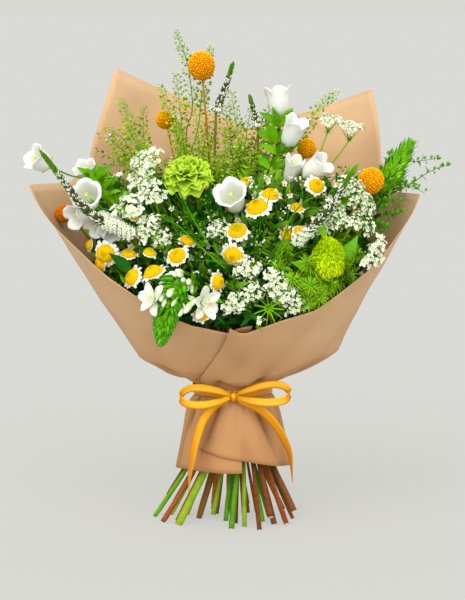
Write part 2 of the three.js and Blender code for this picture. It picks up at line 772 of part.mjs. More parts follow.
// Veronica spikes: the points of the spike above the neck, its root radius and its rings of florets.
const VERONICA = {
  veronica_left: [[[-111, -101, 318], [-139, -107, 328], [-160, -107, 345], [-177, -105, 367],
    [-190, -101, 388], [-203, -96, 411]], 4.8, 19],
  veronica_top: [[[-16, 1, 452], [-7, 5, 475], [1, 10, 501]], 3.8, 10],
  veronica_small: [[[26, -11, 438], [18, -8, 466]], 3, 7],
  veronica_right: [[[72, -100, 318], [88, -103, 334], [105, -101, 352], [117, -97, 372],
    [126, -93, 389]], 4.4, 15],
};

function veronica(name) {
  const [points, radius, steps] = VERONICA[name];
  const line = points.map(vec);
  return [{
    name,
    finish: FINISH.veronica,
    frame: [stem(name, [points[0], points[1]])],
    petals: [spike(line, radius, 1, 5, steps, 0.16)],
  }];
}

/** An umbel: rays from a hub to florets on a shallow dome. */
function umbel(centre, radius, count, facing = outward(vec(centre))) {
  const at = vec(centre);
  const hub = at.clone().addScaledVector(facing, -radius * 0.75);
  const sprigs = [];
  for (let k = 0; k < count; k += 1) {
    const reach = radius * Math.sqrt((k + 0.5) / count);
    const local = vec([reach * Math.cos(k * GOLDEN), reach * Math.sin(k * GOLDEN), 0]);
    local.z = radius * 0.22 * (1 - (reach / radius) ** 2);
    const floretAt = aimedPoint(local, at, facing);
    const root = hub.clone().lerp(floretAt, 1.2 / hub.distanceTo(floretAt));
    const size = 4.4 + 1.6 * ((k * 0.618) % 1);
    sprigs.push([trumpet(root, floretAt, size, k, 4)]);
  }
  return { hub, sprigs };
}

function aimedPoint(point, at, facing) {
  const turn = new THREE.Quaternion().setFromUnitVectors(UP, facing.clone().normalize());
  return point.clone().applyQuaternion(turn).add(at);
}

// White lace flowers: centre, radius and florets of each umbel.
const LACE = {
  lace_left: [[-93, -62, 398, 20, 7], [-98, -82, 362, 22, 7], [-92, -94, 328, 18, 6]],
  lace_right: [[128, -78, 354, 25, 9], [108, -93, 333, 18, 6], [143, -70, 318, 18, 6]],
  lace_edge: [[148, -90, 298, 16, 6]],
  lace_low: [[46, -117, 272, 15, 5], [14, -112, 283, 14, 5], [3, -119, 244, 14, 5],
    [29, -125, 225, 12, 5], [68, -114, 246, 13, 5]],
  lace_top: [[110, 6, 430, 20, 7]],
  lace_back: [[-58, 92, 384, 22, 5], [8, 112, 392, 22, 6], [70, 96, 372, 22, 5]],
};

function lace(name) {
  const frame = [stem(name)];
  const sprigs = [];
  LACE[name].forEach(([x, y, z, radius, count], index) => {
    const facing = name === 'lace_top' ? vec([0.15, -0.35, 1]).normalize() : outward(vec([x, y, z]));
    const head = umbel([x, y, z], radius, count, facing);
    frame.push(stalk(branchRoot(name, index), head.hub, 1));
    frame.push(bare(new THREE.OctahedronGeometry(3)).translate(...head.hub.toArray()));
    sprigs.push(...head.sprigs);
  });
  return [{ name, finish: FINISH.lace, frame, sprigs }];
}

// Thlaspi racemes: points from the root to the tip.
const RACEMES = {
  thlaspi_left: [
    [[-44, 26, 452], [-50, 28, 500], [-63, 30, 534]],
    [[-34, 32, 462], [-28, 38, 495], [-24, 40, 519]],
    [[-58, 30, 450], [-62, 34, 488]],
    [[-70, 26, 444], [-80, 28, 476]],
  ],
  thlaspi_far_left: [
    [[-108, 28, 420], [-116, 32, 440], [-124, 36, 460]],
    [[-120, 6, 404], [-136, -4, 420]],
  ],
  thlaspi_centre: [
    [[4, 4, 436], [-2, 0, 470]],
    [[76, 10, 424], [96, 14, 452], [118, 20, 468]],
    [[-4, 50, 420], [-8, 66, 452]],
  ],
};

function thlaspi(name) {
  const frame = [stem(name)];
  const sprigs = [];
  RACEMES[name].forEach((raceme, index) => {
    const points = [branchRoot(name, index), ...raceme.map(vec)];
    const curve = runsThrough(points);
    frame.push(tube(points, 0.7, 3));
    const pods = 5;
    for (let k = 0; k < pods; k += 1) {
      const t = 0.5 + (0.49 * k) / (pods - 1);
      const run = curve.getTangentAt(t);
      const side = new THREE.Vector3().crossVectors(run, vec([0.3, 1, 0.1])).normalize();
      side.applyAxisAngle(run, k * GOLDEN);
      const shape = pod(8 - 3.5 * t, 4.4 - t, 1.6);
      sprigs.push([posed(shape, curve.getPointAt(t), side.addScaledVector(run, 0.6), run)]);
    }
  });
  return [{ name, finish: FINISH.pod, frame, sprigs }];
}

/** Leaves set by turns along a curve. */
function leavesAlong(curve, from, to, count, length, width, points = 6) {
  const leaves = [];
  for (let k = 0; k < count; k += 1) {
    const t = from + ((to - from) * k) / Math.max(1, count - 1);
    const run = curve.getTangentAt(t);
    const side = new THREE.Vector3().crossVectors(run, vec([0.2, 1, 0.3])).normalize();
    side.applyAxisAngle(run, k * GOLDEN);
    const size = 1 - 0.35 * (k / count);
    const leaf = blade(length * size, width * size, 1.3, points, length * 0.12);
    leaves.push([posed(leaf, curve.getPointAt(t), side.addScaledVector(run, 0.8), run)]);
  }
  return leaves;
}

function vine() {
  const name = 'vine';
  const runs = [
    [[146, 8, 352], [172, 0, 360], [193, -10, 368], [212, -22, 382], [229, -28, 390]],
    [[150, 14, 368], [181, 8, 389], [203, 0, 393], [222, -8, 396]],
    [[166, 0, 358], [188, -16, 369], [208, -30, 360]],
  ];
  const frame = [stem(name)];
  const sprigs = [];
  runs.forEach((run, index) => {
    const points = [branchRoot(name, index), ...run.map(vec)];
    const curve = runsThrough(points);
    frame.push(tube(points, 0.8, 3));
    sprigs.push(...leavesAlong(curve, 0.36, 0.92, 4, 20, 9, 4));
    sprigs.push([posed(bud(10, 5, 5), curve.getPointAt(0.98), curve.getTangentAt(0.98), UP)]);
    sprigs.push([posed(bud(8, 4, 4), curve.getPointAt(0.75), vec([0.4, -0.8, index - 1]), UP)]);
  });
  return [{ name, finish: FINISH.leaf, frame, sprigs }];
}

/** Fine needles round a branch. */
function needles(curve, from, to, count, length) {
  const list = [];
  for (let k = 0; k < count; k += 1) {
    const t = from + ((to - from) * k) / (count - 1);
    const run = curve.getTangentAt(t);
    const side = new THREE.Vector3().crossVectors(run, vec([0.1, 1, 0.2])).normalize();
    side.applyAxisAngle(run, k * GOLDEN);
    const needle = new THREE.ConeGeometry(0.75, length, 3, 1).rotateX(Math.PI / 2);
    needle.translate(0, 0, length / 2 - 0.4);
    list.push([aimed(bare(needle), curve.getPointAt(t), side.addScaledVector(run, 0.8))]);
  }
  return list;
}

function featheryGreen() {
  const name = 'feathery_green';
  const runs = [
    [[92, -98, 256], [114, -112, 262]],
    [[66, -98, 262], [62, -118, 278]],
    [[104, -84, 266], [128, -94, 280]],
  ];
  const frame = [stem(name)];
  const sprigs = [];
  runs.forEach((run, index) => {
    const points = [branchRoot(name, index), ...run.map(vec)];
    frame.push(tube(points, 0.8, 3));
    sprigs.push(...needles(runsThrough(points), 0.5, 0.98, 3, 16));
  });
  const bract = vec([38, -120, 246]);
  frame.push(stalk(branchRoot(name, runs.length), bract, 0.9));
  frame.push(bare(new THREE.OctahedronGeometry(3.2)).translate(...bract.toArray()));
  const rays = 6;
  for (let k = 0; k < rays; k += 1) {
    const angle = (k * 2 * Math.PI) / rays;
    const way = vec([Math.cos(angle), -0.45, Math.sin(angle)]);
    const ray = bare(new THREE.ConeGeometry(0.9, 17, 3, 1).rotateX(Math.PI / 2).translate(0, 0, 10));
    sprigs.push([aimed(ray, bract, way)]);
  }
  return [{ name, finish: FINISH.feather, frame, sprigs }];
}

function grass() {
  const name = 'grass';
  const runs = [
    [[-66, -48, 350], [-84, -60, 386]],
    [[-42, -74, 326], [-24, -96, 338]],
    [[-30, -56, 346], [-22, -72, 374]],
  ];
  const section = [[2.2, 0], [0, 0.5], [-2.2, 0], [0, -0.5]];
  const frame = runs.map((run, index) => (
    drawnAlong(section, [branchRoot(name, index), ...run.map(vec)], 2)
  ));
  return [{ name, finish: FINISH.leaf, frame: [stem(name), ...frame] }];
}

// Leafy branches: for each stem, its runs of leaves, the leaves on each, and their length and width.
const LEAFY = {
  dark_leaves_left: [[[[-70, 88, 350], [-80, 104, 400]], [[-96, 70, 340], [-124, 74, 374]],
    [[-40, 92, 340], [-28, 118, 372]]], 5, 44, 22],
  dark_leaves_right: [[[[76, 92, 350], [88, 108, 404]], [[98, 66, 340], [130, 70, 376]],
    [[44, 96, 340], [40, 122, 366]]], 5, 44, 22],
  front_leaves: [[[[-66, -90, 258], [-92, -104, 250]], [[-40, -92, 270], [-18, -108, 256]],
    [[-64, -60, 292], [-70, -58, 326]]], 4, 28, 12],
};

function leafyBranch(name) {
  const [runs, count, length, width] = LEAFY[name];
  const frame = [stem(name)];
  const sprigs = [];
  runs.forEach((run, index) => {
    const points = [branchRoot(name, index), ...run.map(vec)];
    frame.push(tube(points, 1, 3));
    sprigs.push(...leavesAlong(runsThrough(points), 0.35, 0.98, count, length, width));
  });
  return [{ name, finish: FINISH.leaf, frame, sprigs }];
}

/** Waxflower: small white five-petalled florets on fine stalks. */
function waxflower() {
  const name = 'waxflower';
  const neck = neckOf(name);
  const draw = drawsFrom(5);
  const sprigs = [];
  const knot = bare(new THREE.OctahedronGeometry(4)).translate(...neck.toArray());
  for (let k = 0; k < 12; k += 1) {
    const at = vec([-46 + 92 * draw(), -74 - 26 * draw(), 300 + 60 * draw()]);
    const root = neck.clone().lerp(at, 1.6 / neck.distanceTo(at));
    sprigs.push([trumpet(root, at, 5.5, k, 5)]);
  }
  return [{ name, finish: FINISH.star, frame: [stem(name), knot], sprigs }];
}

// ---- Ribbon and twine ---------------------------------------------------------------------------

/** A round band with a rectangular section. */
function band(inner, outer, bottom, top, segments) {
  const corners = [[inner, bottom], [outer, bottom], [outer, top], [inner, top], [inner, bottom]];
  const profile = corners.map(([x, y]) => new THREE.Vector2(x, y));
  return bare(new THREE.LatheGeometry(profile, segments).rotateX(Math.PI / 2));
}

function ribbon() {
  const width = 9.5;
  const thickness = 0.8;
  const knot = shaped(new THREE.SphereGeometry(1, 8, 4), (point) => {
    point.set(point.x * 8, -51 + point.y * 7.5, 142 + point.z * 6.5);
  });
  const leftLoop = [[-2, -53, 144], [-22, -60, 151], [-44, -60, 150], [-57, -55, 143], [-46, -58, 133],
    [-24, -60, 133], [-2, -54, 139]];
  const rightLoop = [[2, -53, 144], [24, -60, 150], [50, -58, 153], [64, -52, 146], [50, -56, 136],
    [26, -60, 134], [2, -54, 139]];
  const leftTail = [[-1, -55, 140], [-24, -66, 124], [-36, -70, 104], [-42, -70, 80], [-45, -68, 56],
    [-47, -66, 36]];
  const rightTail = [[1, -55, 141], [24, -65, 132], [48, -61, 114], [60, -54, 92], [64, -48, 68],
    [65, -45, 46]];
  const frame = [
    band(43.2, 44, 141.8, 151.2, 18),
    knot,
    strip(leftLoop.map(vec), width, thickness, 8, [0.25, -0.9, 0.35]),
    strip(rightLoop.map(vec), width, thickness, 8, [-0.25, -0.9, 0.35]),
    strip(leftTail.map(vec), width, thickness, 6, [0.8, 0.1, 0.6], [0.9, -0.35, 0]),
    strip(rightTail.map(vec), width, thickness, 6, [0.6, -0.2, 0.8], [0.85, -0.4, 0.1]),
  ];
  return { name: 'ribbon', finish: FINISH.ribbon, frame };
}

/** Two turns of twine, pulled tight against each other. */
function twine() {
  const half = 1.5;
  const profile = [[33.2, -2], [34.6, -1], [33.8, 0], [34.6, 1], [33.2, 2], [33.2, -2]];
  const points = profile.map(([x, y]) => new THREE.Vector2(x, y * half));
  const ring = new THREE.LatheGeometry(points, 12).rotateX(Math.PI / 2).translate(0, 0, WAIST_HEIGHT);
  return { name: 'binding_twine', finish: FINISH.twine, frame: [bare(ring)] };
}

// ---- The bouquet --------------------------------------------------------------------------------

const PARTS = [
  {
    name: 'paper_sheet_left',
    finish: FINISH.kraft,
    frame: [paperSheet(70, 280, LEFT_RIM, LEFT_HEM, 0, 0)],
  },
  {
    name: 'paper_sheet_right',
    finish: FINISH.kraft,
    frame: [paperSheet(230, 460, RIGHT_RIM, RIGHT_HEM, PAPER.layer, RIGHT_FRONT_LEAN)],
  },
  ribbon(),
  twine(),
  ...craspedia(1, [-34, 20, 496], 13.5, 2),
  ...craspedia(2, [-75, 40, 436], 8.4, 1),
  ...craspedia(3, [-182, -20, 338], 8.4, 1),
  ...craspedia(4, [149, -40, 374], 12.6, 2),
  ...craspedia(5, [81, -5, 407], 8.8, 1),
  ...campanula('right'),
  ...campanula('left'),
  ...campanula('centre'),
  ...carnation(),
  ...greenTrick(),
  ...ornithogalums(),
  ...Object.keys(DAISIES).flatMap(feverfew),
  ...Object.keys(VERONICA).flatMap(veronica),
  ...vine(),
  ...grass(),
  ...Object.keys(LACE).flatMap(lace),
  ...Object.keys(RACEMES).flatMap(thlaspi),
  ...Object.keys(LEAFY).flatMap(leafyBranch),
  ...featheryGreen(),
  ...waxflower(),
];

/** Joins the parts' pieces, and keeps each clear of the frames of all and the petals of those before. */
function fitTogether(parts) {
  const kept = [];
  const keepClear = (owner, meshes) => {
    if (meshes.length > 0) {
      const solid = wasm.Manifold.union(meshes.map((mesh) => solidOf(grown(mesh))));
      kept.push({ owner, solid, box: solid.boundingBox() });
    }
  };
  const near = (owner, solid) => {
    const box = solid.boundingBox();
    return kept.filter((other) => other.owner !== owner
      && [0, 1, 2].every((k) => other.box.min[k] < box.max[k] && other.box.max[k] > box.min[k]));
  };
  const floor = solidOf(bare(new THREE.BoxGeometry(400, 400, 100).translate(0, 0, -50)));
  for (const { name, frame = [] } of parts) {
    keepClear(name, frame);
  }
  return parts.map(({ name, finish: look, frame = [], petals = [], sprigs = [] }) => {
    const clear = sprigs.filter((sprig) => {
      const solid = wasm.Manifold.union(sprig.map(solidOf));
      return near(name, solid).every((other) => other.solid.intersect(solid).isEmpty());
    }).flat();
    let solid = wasm.Manifold.union([...frame, ...petals, ...clear].map(solidOf)).subtract(floor);
    for (const other of near(name, solid)) {
      solid = solid.subtract(other.solid);
    }
    const [largest] = solid.decompose().sort((a, b) => b.volume() - a.volume());
    keepClear(name, [...petals, ...clear]);
    return { name, look, solid: largest };
  });
}

function meshOf({ name, look, solid }) {
  const { vertProperties, triVerts } = solid.getMesh();
  const geometry = new THREE.BufferGeometry();
  geometry.setAttribute('position', new THREE.Float32BufferAttribute(vertProperties, 3));
  geometry.setIndex(Array.from(triVerts));
  geometry.computeVertexNormals();
  const mesh = new THREE.Mesh(geometry, new THREE.MeshStandardMaterial(look));
  mesh.name = name;
  return mesh;
}

const bouquet = new THREE.Group();
fitTogether(PARTS).forEach((part) => bouquet.add(meshOf(part)));

export default bouquet;
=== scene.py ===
# %% [markdown]
# # A mixed bouquet in kraft paper
# A hand-tied bunch stands on its splayed cut stems, wrapped in two sheets of kraft paper with a satin
# bow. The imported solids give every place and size. Each of them is a plain stand-in for a flower, a
# spray or a sheet, so each is replaced here by finer pieces that grow from the same points.

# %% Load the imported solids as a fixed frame
import math

import bpy
import numpy as np
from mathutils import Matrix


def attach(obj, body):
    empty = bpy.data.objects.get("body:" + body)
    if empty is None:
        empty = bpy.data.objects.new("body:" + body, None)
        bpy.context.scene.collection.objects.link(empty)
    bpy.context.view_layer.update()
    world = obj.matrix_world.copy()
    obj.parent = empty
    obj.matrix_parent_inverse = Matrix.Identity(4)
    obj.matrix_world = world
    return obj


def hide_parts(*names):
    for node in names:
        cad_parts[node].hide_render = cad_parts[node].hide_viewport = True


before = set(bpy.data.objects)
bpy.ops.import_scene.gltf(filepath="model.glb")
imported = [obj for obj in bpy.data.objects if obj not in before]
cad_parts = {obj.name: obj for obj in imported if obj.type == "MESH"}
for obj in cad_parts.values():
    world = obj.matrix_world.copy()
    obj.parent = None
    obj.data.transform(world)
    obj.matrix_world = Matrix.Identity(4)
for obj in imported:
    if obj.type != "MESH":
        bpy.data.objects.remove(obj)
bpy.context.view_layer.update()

MM = 0.001  # the lists below are in millimetres, and Blender's points in metres

# %% [markdown]
# ## Camera, floor and light
# A bouquet is looked at a little from above, from far enough away that its stems stay parallel. A long
# lens does that. The floor is one wide plane, and the light is a pale sky with a very wide sun, so
# that the shadows are soft and the ground has the same tone from front to back.

# %% The camera
VIEW_HEIGHT = 0.240
VIEW_DISTANCE = 2.6
VIEW_ELEVATION = math.radians(7)
FRAME_HEIGHT = 0.660  # height of the picture at the middle of the bunch

camera = bpy.data.objects.new("camera", bpy.data.cameras.new("camera"))
bpy.context.scene.collection.objects.link(camera)
camera.location = (
    0,
    -VIEW_DISTANCE * math.cos(VIEW_ELEVATION),
    VIEW_HEIGHT + VIEW_DISTANCE * math.sin(VIEW_ELEVATION),
)
camera.rotation_euler = (math.pi / 2 - VIEW_ELEVATION, 0, 0)
camera.data.sensor_width = 36
camera.data.lens = camera.data.sensor_width * VIEW_DISTANCE / FRAME_HEIGHT
camera.data.clip_end = 1000
bpy.context.scene.camera = camera
print("lens", round(camera.data.lens, 1), "mm")

# %% The light
SKY = (0.686, 0.686, 0.650)  # what the eye sees behind the bunch
FILL = (1.0, 0.99, 0.97)  # the light that the same sky gives
FILL_STRENGTH = 0.80

world = bpy.data.worlds.new("studio")
bpy.context.scene.world = world
world.use_nodes = True
nodes, links = world.node_tree.nodes, world.node_tree.links
nodes.clear()
seen = nodes.new("ShaderNodeBackground")
seen.inputs["Color"].default_value = (*SKY, 1)
given = nodes.new("ShaderNodeBackground")
given.inputs["Color"].default_value = (*FILL, 1)
given.inputs["Strength"].default_value = FILL_STRENGTH
path = nodes.new("ShaderNodeLightPath")
both = nodes.new("ShaderNodeMixShader")
links.new(path.outputs["Is Camera Ray"], both.inputs[0])
links.new(given.outputs[0], both.inputs[1])
links.new(seen.outputs[0], both.inputs[2])
links.new(both.outputs[0], nodes.new("ShaderNodeOutputWorld").inputs["Surface"])


def sun(name, strength, angle, turn):
    lamp = bpy.data.lights.new(name, "SUN")
    lamp.energy, lamp.angle = strength, math.radians(angle)
    holder = bpy.data.objects.new(name, lamp)
    holder.rotation_euler = [math.radians(x) for x in turn]
    bpy.context.scene.collection.objects.link(holder)


sun("key", 1.15, 55, (36, -18, 0))
sun("front", 1.35, 75, (64, 8, 0))

# %% [markdown]
# ## Building by growth
# Leaves, petals and stalks are thin sheets and tubes in great numbers. Placing thousands of objects
# would be slow, so each piece is one mesh that gathers its leaves one by one. Two values are kept at
# each point for the finish: `run`, from 0 at a root to 1 at a tip, and `tone`, a draw for each leaf.

# %% Gathering points and faces
class Growth:
    def __init__(self):
        self.points, self.faces, self.runs, self.tones = [], [], [], []
        self.count = 0

    def add(self, points, faces, run=0.5, tone=0.5):
        total = len(points)
        self.points.append(points)
        self.runs.append(np.broadcast_to(run, (total,)))
        self.tones.append(np.broadcast_to(tone, (total,)))
        for group in faces:
            self.faces.extend((group + self.count).tolist())
        self.count += total


def unit(way):
    way = np.asarray(way, float)
    return way / max(np.linalg.norm(way), 1e-9)


def spun(side, back, angle):
    """The direction at an angle between two that are square to each other."""
    return side * math.cos(angle) + back * math.sin(angle)


def square_to(way, near):
    """Two directions that are square to a way and to each other."""
    side = unit(np.cross(way, near))
    return side, np.cross(way, side)


def posed(points, root, run, up):
    """Points that lie along +X with their upper side +Z, set at a root and along a new run."""
    x = unit(run)
    side = np.cross(up, x)
    if np.linalg.norm(side) < 1e-6:
        side = np.cross((0.31, 0.77, 0.56), x)
    y = unit(side)
    return points @ np.array([x, y, np.cross(x, y)]) + root


# %% Tubes along smooth curves
def smooth(points, steps):
    """A Catmull-Rom curve through the points."""
    points = np.asarray(points, float)
    if len(points) == 2:
        share = np.linspace(0, 1, steps + 1)[:, None]
        return points[0] + (points[1] - points[0]) * share
    ends = [2 * points[0] - points[1], *points, 2 * points[-1] - points[-2]]
    made = []
    share = np.linspace(0, 1, steps, endpoint=False)[:, None]
    for a, b, c, d in zip(ends, ends[1:], ends[2:], ends[3:]):
        made.append(b + 0.5 * share * ((c - a) + share * (
            (2 * a - 5 * b + 4 * c - d) + share * (3 * (b - c) + d - a))))
    return np.vstack([*made, points[-1:]])


def runs_along(line):
    runs = np.gradient(line, axis=0)
    return runs / np.linalg.norm(runs, axis=1)[:, None]


def frames_along(line):
    """The run, side and face at each point, turned as little as possible from one to the next."""
    runs = runs_along(line)
    side = unit(np.cross(runs[0], (0.3, 0.8, 0.5) if abs(runs[0][2]) > 0.9 else (0, 0, 1)))
    sides = []
    for run in runs:
        side = unit(side - run * side.dot(run))
        sides.append(side)
    sides = np.array(sides)
    return runs, sides, np.cross(runs, sides)


def place(line, frames, share, spin):
    """The point, the run and the way out at a share of a line and a spin round it."""
    i = min(int(share * (len(line) - 1)), len(line) - 2)
    runs, sides, backs = frames
    return line[i], runs[i], spun(sides[i], backs[i], spin)


def spread_over(values, share):
    """Reads values that are spread evenly from 0 to 1."""
    return np.interp(share, np.linspace(0, 1, np.size(values)), np.atleast_1d(values))


def grid_faces(rows, columns):
    """Faces of a grid of points listed row by row."""
    i, j = np.meshgrid(np.arange(rows - 1), np.arange(columns - 1), indexing="ij")
    a = i * columns + j
    return np.stack([a, a + columns, a + columns + 1, a + 1], -1).reshape(-1, 4)


def ring_faces(rings, sides):
    i, j = np.meshgrid(np.arange(rings - 1), np.arange(sides), indexing="ij")
    a, b = i * sides + j, i * sides + (j + 1) % sides
    return np.stack([a, b, b + sides, a + sides], -1).reshape(-1, 4)


def closed_faces(rings, sides):
    """Faces of rings whose two end points are listed after the last ring."""
    j = np.arange(sides)
    after, start, end = (j + 1) % sides, (rings - 1) * sides, rings * sides
    caps = [np.stack([np.full(sides, end), after, j], -1),
            np.stack([np.full(sides, end + 1), start + j, start + after], -1)]
    return [ring_faces(rings, sides), np.vstack(caps)]


def tube(growth, points, radius, sides=6, steps=4, tone=0.5):
    """A round stalk. The radius is one number or a list spread evenly from root to tip."""
    line = smooth(points, steps)
    _, side, face = frames_along(line)
    share = np.linspace(0, 1, len(line))
    angle = np.arange(sides) * 2 * math.pi / sides
    rings = line[:, None] + spread_over(radius, share)[:, None, None] * (
        side[:, None] * np.cos(angle)[:, None] + face[:, None] * np.sin(angle)[:, None])
    points = np.vstack([rings.reshape(-1, 3), line[:1], line[-1:]])
    growth.add(points, closed_faces(len(line), sides), np.append(np.repeat(share, sides), [0, 1]), tone)
    return line


# %% Petals and leaves
def sheet(length, width, outline, steps=6, across=4, bend=0.0, cup=0.0, frill=0.0, waves=3, phase=0.0):
    """A petal from its root at the origin along +X. The outline lists its share of the width.

    bend turns the tip down by that many radians, cup lifts its sides, and frill waves its far edge.
    """
    u = np.linspace(0, 1, steps + 1)[:, None]
    v = np.linspace(-1, 1, across + 1)[None, :]
    half = 0.5 * width * spread_over(outline, u)
    turn = bend if abs(bend) > 1e-3 else 1e-3
    x = length / turn * np.sin(turn * u) + 0 * v
    z = -length / turn * (1 - np.cos(turn * u)) + cup * half * v * v
    z = z + frill * u * u * np.sin(waves * math.pi * v + phase)
    points = np.stack([x, half * v + 0 * u, z], -1).reshape(-1, 3)
    return points, [grid_faces(steps + 1, across + 1)], np.repeat(u[:, 0], across + 1)


LANCE = (0.12, 0.62, 0.95, 1.0, 0.85, 0.5, 0.0)
OVAL = (0.1, 0.7, 1.0, 0.96, 0.7, 0.3, 0.0)
SPOON = (0.25, 0.45, 0.7, 0.92, 1.0, 0.85, 0.3)
WEDGE = (0.16, 0.34, 0.56, 0.78, 0.95, 1.0, 0.82)
GOLDEN = math.pi * (3 - math.sqrt(5))  # the angle between one leaf or floret and the next
FIFTH = 1.2566  # the angle between two of five petals


def draws(seed):
    return np.random.default_rng(seed)


def turned(way, spin, tilt):
    """A direction that leans from a way by a tilt, at a spin round it."""
    way = unit(way)
    side, back = square_to(way, (0.13, 0.97, 0.2) if abs(way[1]) < 0.9 else (1, 0, 0))
    return way * math.cos(tilt) + spun(side, back, spin) * math.sin(tilt)


# %% Turning a growth into a piece
def piece(name, growth, material, nodes, slot, thickness=0.0):
    """One mesh object that stands for its nodes and rides with the bunch."""
    mesh = bpy.data.meshes.new(name)
    mesh.from_pydata((np.vstack(growth.points) * MM).tolist(), [], growth.faces)
    for title, values in (("run", growth.runs), ("tone", growth.tones)):
        mesh.attributes.new(title, "FLOAT", "POINT").data.foreach_set("value", np.concatenate(values))
    mesh.polygons.foreach_set("use_smooth", [True] * len(mesh.polygons))
    mesh.materials.append(material)
    made = bpy.data.objects.new(name, mesh)
    bpy.context.scene.collection.objects.link(made)
    if thickness:
        solid = made.modifiers.new("thickness", "SOLIDIFY")
        solid.thickness = thickness * MM
        solid.offset = 0
    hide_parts(*nodes)
    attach(made, "root")
    triangles = sum(len(face) - 2 for face in growth.faces)
    print(f"{name}: {triangles} triangles" + (" before thickness" if thickness else ""))
    return made


def pieces(nodes, slot, *rows):
    """Pieces that stand for the same nodes: each row is a name, a growth, a finish and a thickness."""
    for name, growth, material, *thickness in rows:
        piece(name, growth, material, nodes, slot, *thickness)

# %% [markdown]
# ## Finishes
# A leaf or petal is never one flat colour. It shifts from its root to its tip, one leaf is paler than
# the next, and fine cells and veins mottle it. One shader group does all three for every plant finish,
# each with its own values, and puts out a colour and a height. The shader stays in each material.

# %% Colours and node helpers
def seen_as(red, green, blue):
    """A colour as the eye sees it, from 0 to 255, as Blender's linear numbers."""
    linear = [((c / 255 + 0.055) / 1.055) ** 2.4 if c > 10 else c / 3295 for c in (red, green, blue)]
    return (*linear, 1)


def new_group(name, takes, gives):
    tree = bpy.data.node_groups.new(name, "ShaderNodeTree")
    for side, sockets in (("INPUT", takes), ("OUTPUT", gives)):
        for title, kind, *start in sockets:
            made = tree.interface.new_socket(title, in_out=side, socket_type="NodeSocket" + kind)
            if start:
                made.default_value = start[0]
    return tree, tree.nodes.new("NodeGroupInput"), tree.nodes.new("NodeGroupOutput")


def feed(tree, sockets, values):
    """Sets each socket to a plain value, or links it to an output."""
    for socket, value in zip(sockets, values):
        if isinstance(value, (int, float, tuple)):
            socket.default_value = value
        else:
            tree.links.new(value, socket)


def give(node, **values):
    """Sets inputs by their names, with a low line for each space."""
    for title, value in values.items():
        node.inputs[title.replace("_", " ")].default_value = value


def math_node(tree, kind, first, second):
    made = tree.nodes.new("ShaderNodeMath")
    made.operation = kind
    feed(tree, made.inputs, (first, second))
    return made.outputs[0]


def noise(tree, scale, detail=2.0):
    made = tree.nodes.new("ShaderNodeTexNoise")
    where = tree.nodes.new("ShaderNodeTexCoord").outputs["Object"]
    feed(tree, [made.inputs[title] for title in ("Scale", "Detail", "Vector")], (scale, detail, where))
    return made.outputs["Fac"]


def attribute(tree, name):
    made = tree.nodes.new("ShaderNodeAttribute")
    made.attribute_name = name
    return made.outputs["Fac"]


def mixed(tree, share, first, second):
    made = tree.nodes.new("ShaderNodeMix")
    made.data_type = "RGBA"
    feed(tree, (made.inputs["Factor"], made.inputs[6], made.inputs[7]), (share, first, second))
    return made.outputs[2]


def tinted(tree, base, mask, amount, colour):
    """A colour that turns toward another where a mask is high."""
    return mixed(tree, math_node(tree, "MULTIPLY", mask, amount), base, colour)


def masked(tree, value, low, high):
    """A mask that rises from 0 to 1 between two values."""
    made = tree.nodes.new("ShaderNodeMapRange")
    give(made, From_Min=low, From_Max=high)
    tree.links.new(value, made.inputs["Value"])
    return made.outputs[0]


def new_material(name):
    made = bpy.data.materials.new(name)
    made.use_nodes = True
    return made, made.node_tree, made.node_tree.nodes["Principled BSDF"]


def relief(tree, shader, height, strength, distance):
    made = tree.nodes.new("ShaderNodeBump")
    give(made, Strength=strength, Distance=distance)
    tree.links.new(height, made.inputs["Height"])
    tree.links.new(made.outputs["Normal"], shader.inputs["Normal"])


# %% The group that all plant finishes share
PLANT, taken, given_out = new_group(
    "plant_tone",
    [("Root", "Color"), ("Tip", "Color"), ("Spread", "Float", 0.3), ("Mottle", "Float", 0.3),
     ("Scale", "Float", 200.0)],
    [("Color", "Color"), ("Height", "Float")],
)
cells = noise(PLANT, taken.outputs["Scale"])
ground = mixed(PLANT, attribute(PLANT, "run"), taken.outputs["Root"], taken.outputs["Tip"])
draw = math_node(PLANT, "SUBTRACT", attribute(PLANT, "tone"), 0.5)
lift = math_node(PLANT, "MULTIPLY", draw, taken.outputs["Spread"])
grain = math_node(PLANT, "MULTIPLY", math_node(PLANT, "SUBTRACT", cells, 0.5), taken.outputs["Mottle"])
level = math_node(PLANT, "ADD", math_node(PLANT, "ADD", lift, grain), 1.0)
shade = PLANT.nodes.new("ShaderNodeHueSaturation")
PLANT.links.new(ground, shade.inputs["Color"])
PLANT.links.new(level, shade.inputs["Value"])
PLANT.links.new(shade.outputs["Color"], given_out.inputs["Color"])
PLANT.links.new(cells, given_out.inputs["Height"])


def plant(name, root, tip, spread=0.5, mottle=0.35, scale=260.0, roughness=0.55, bump=0.25, **others):
    """A plant finish. Other sockets of the shader are given by their names."""
    material, tree, shader = new_material(name)
    tone = tree.nodes.new("ShaderNodeGroup")
    tone.node_tree = PLANT
    give(tone, Root=seen_as(*root), Tip=seen_as(*tip), Spread=spread, Mottle=mottle, Scale=scale)
    relief(tree, shader, tone.outputs["Height"], bump, 0.0004)
    tree.links.new(tone.outputs["Color"], shader.inputs["Base Color"])
    give(shader, Roughness=roughness, Specular_IOR_Level=0.14, **others)
    return material


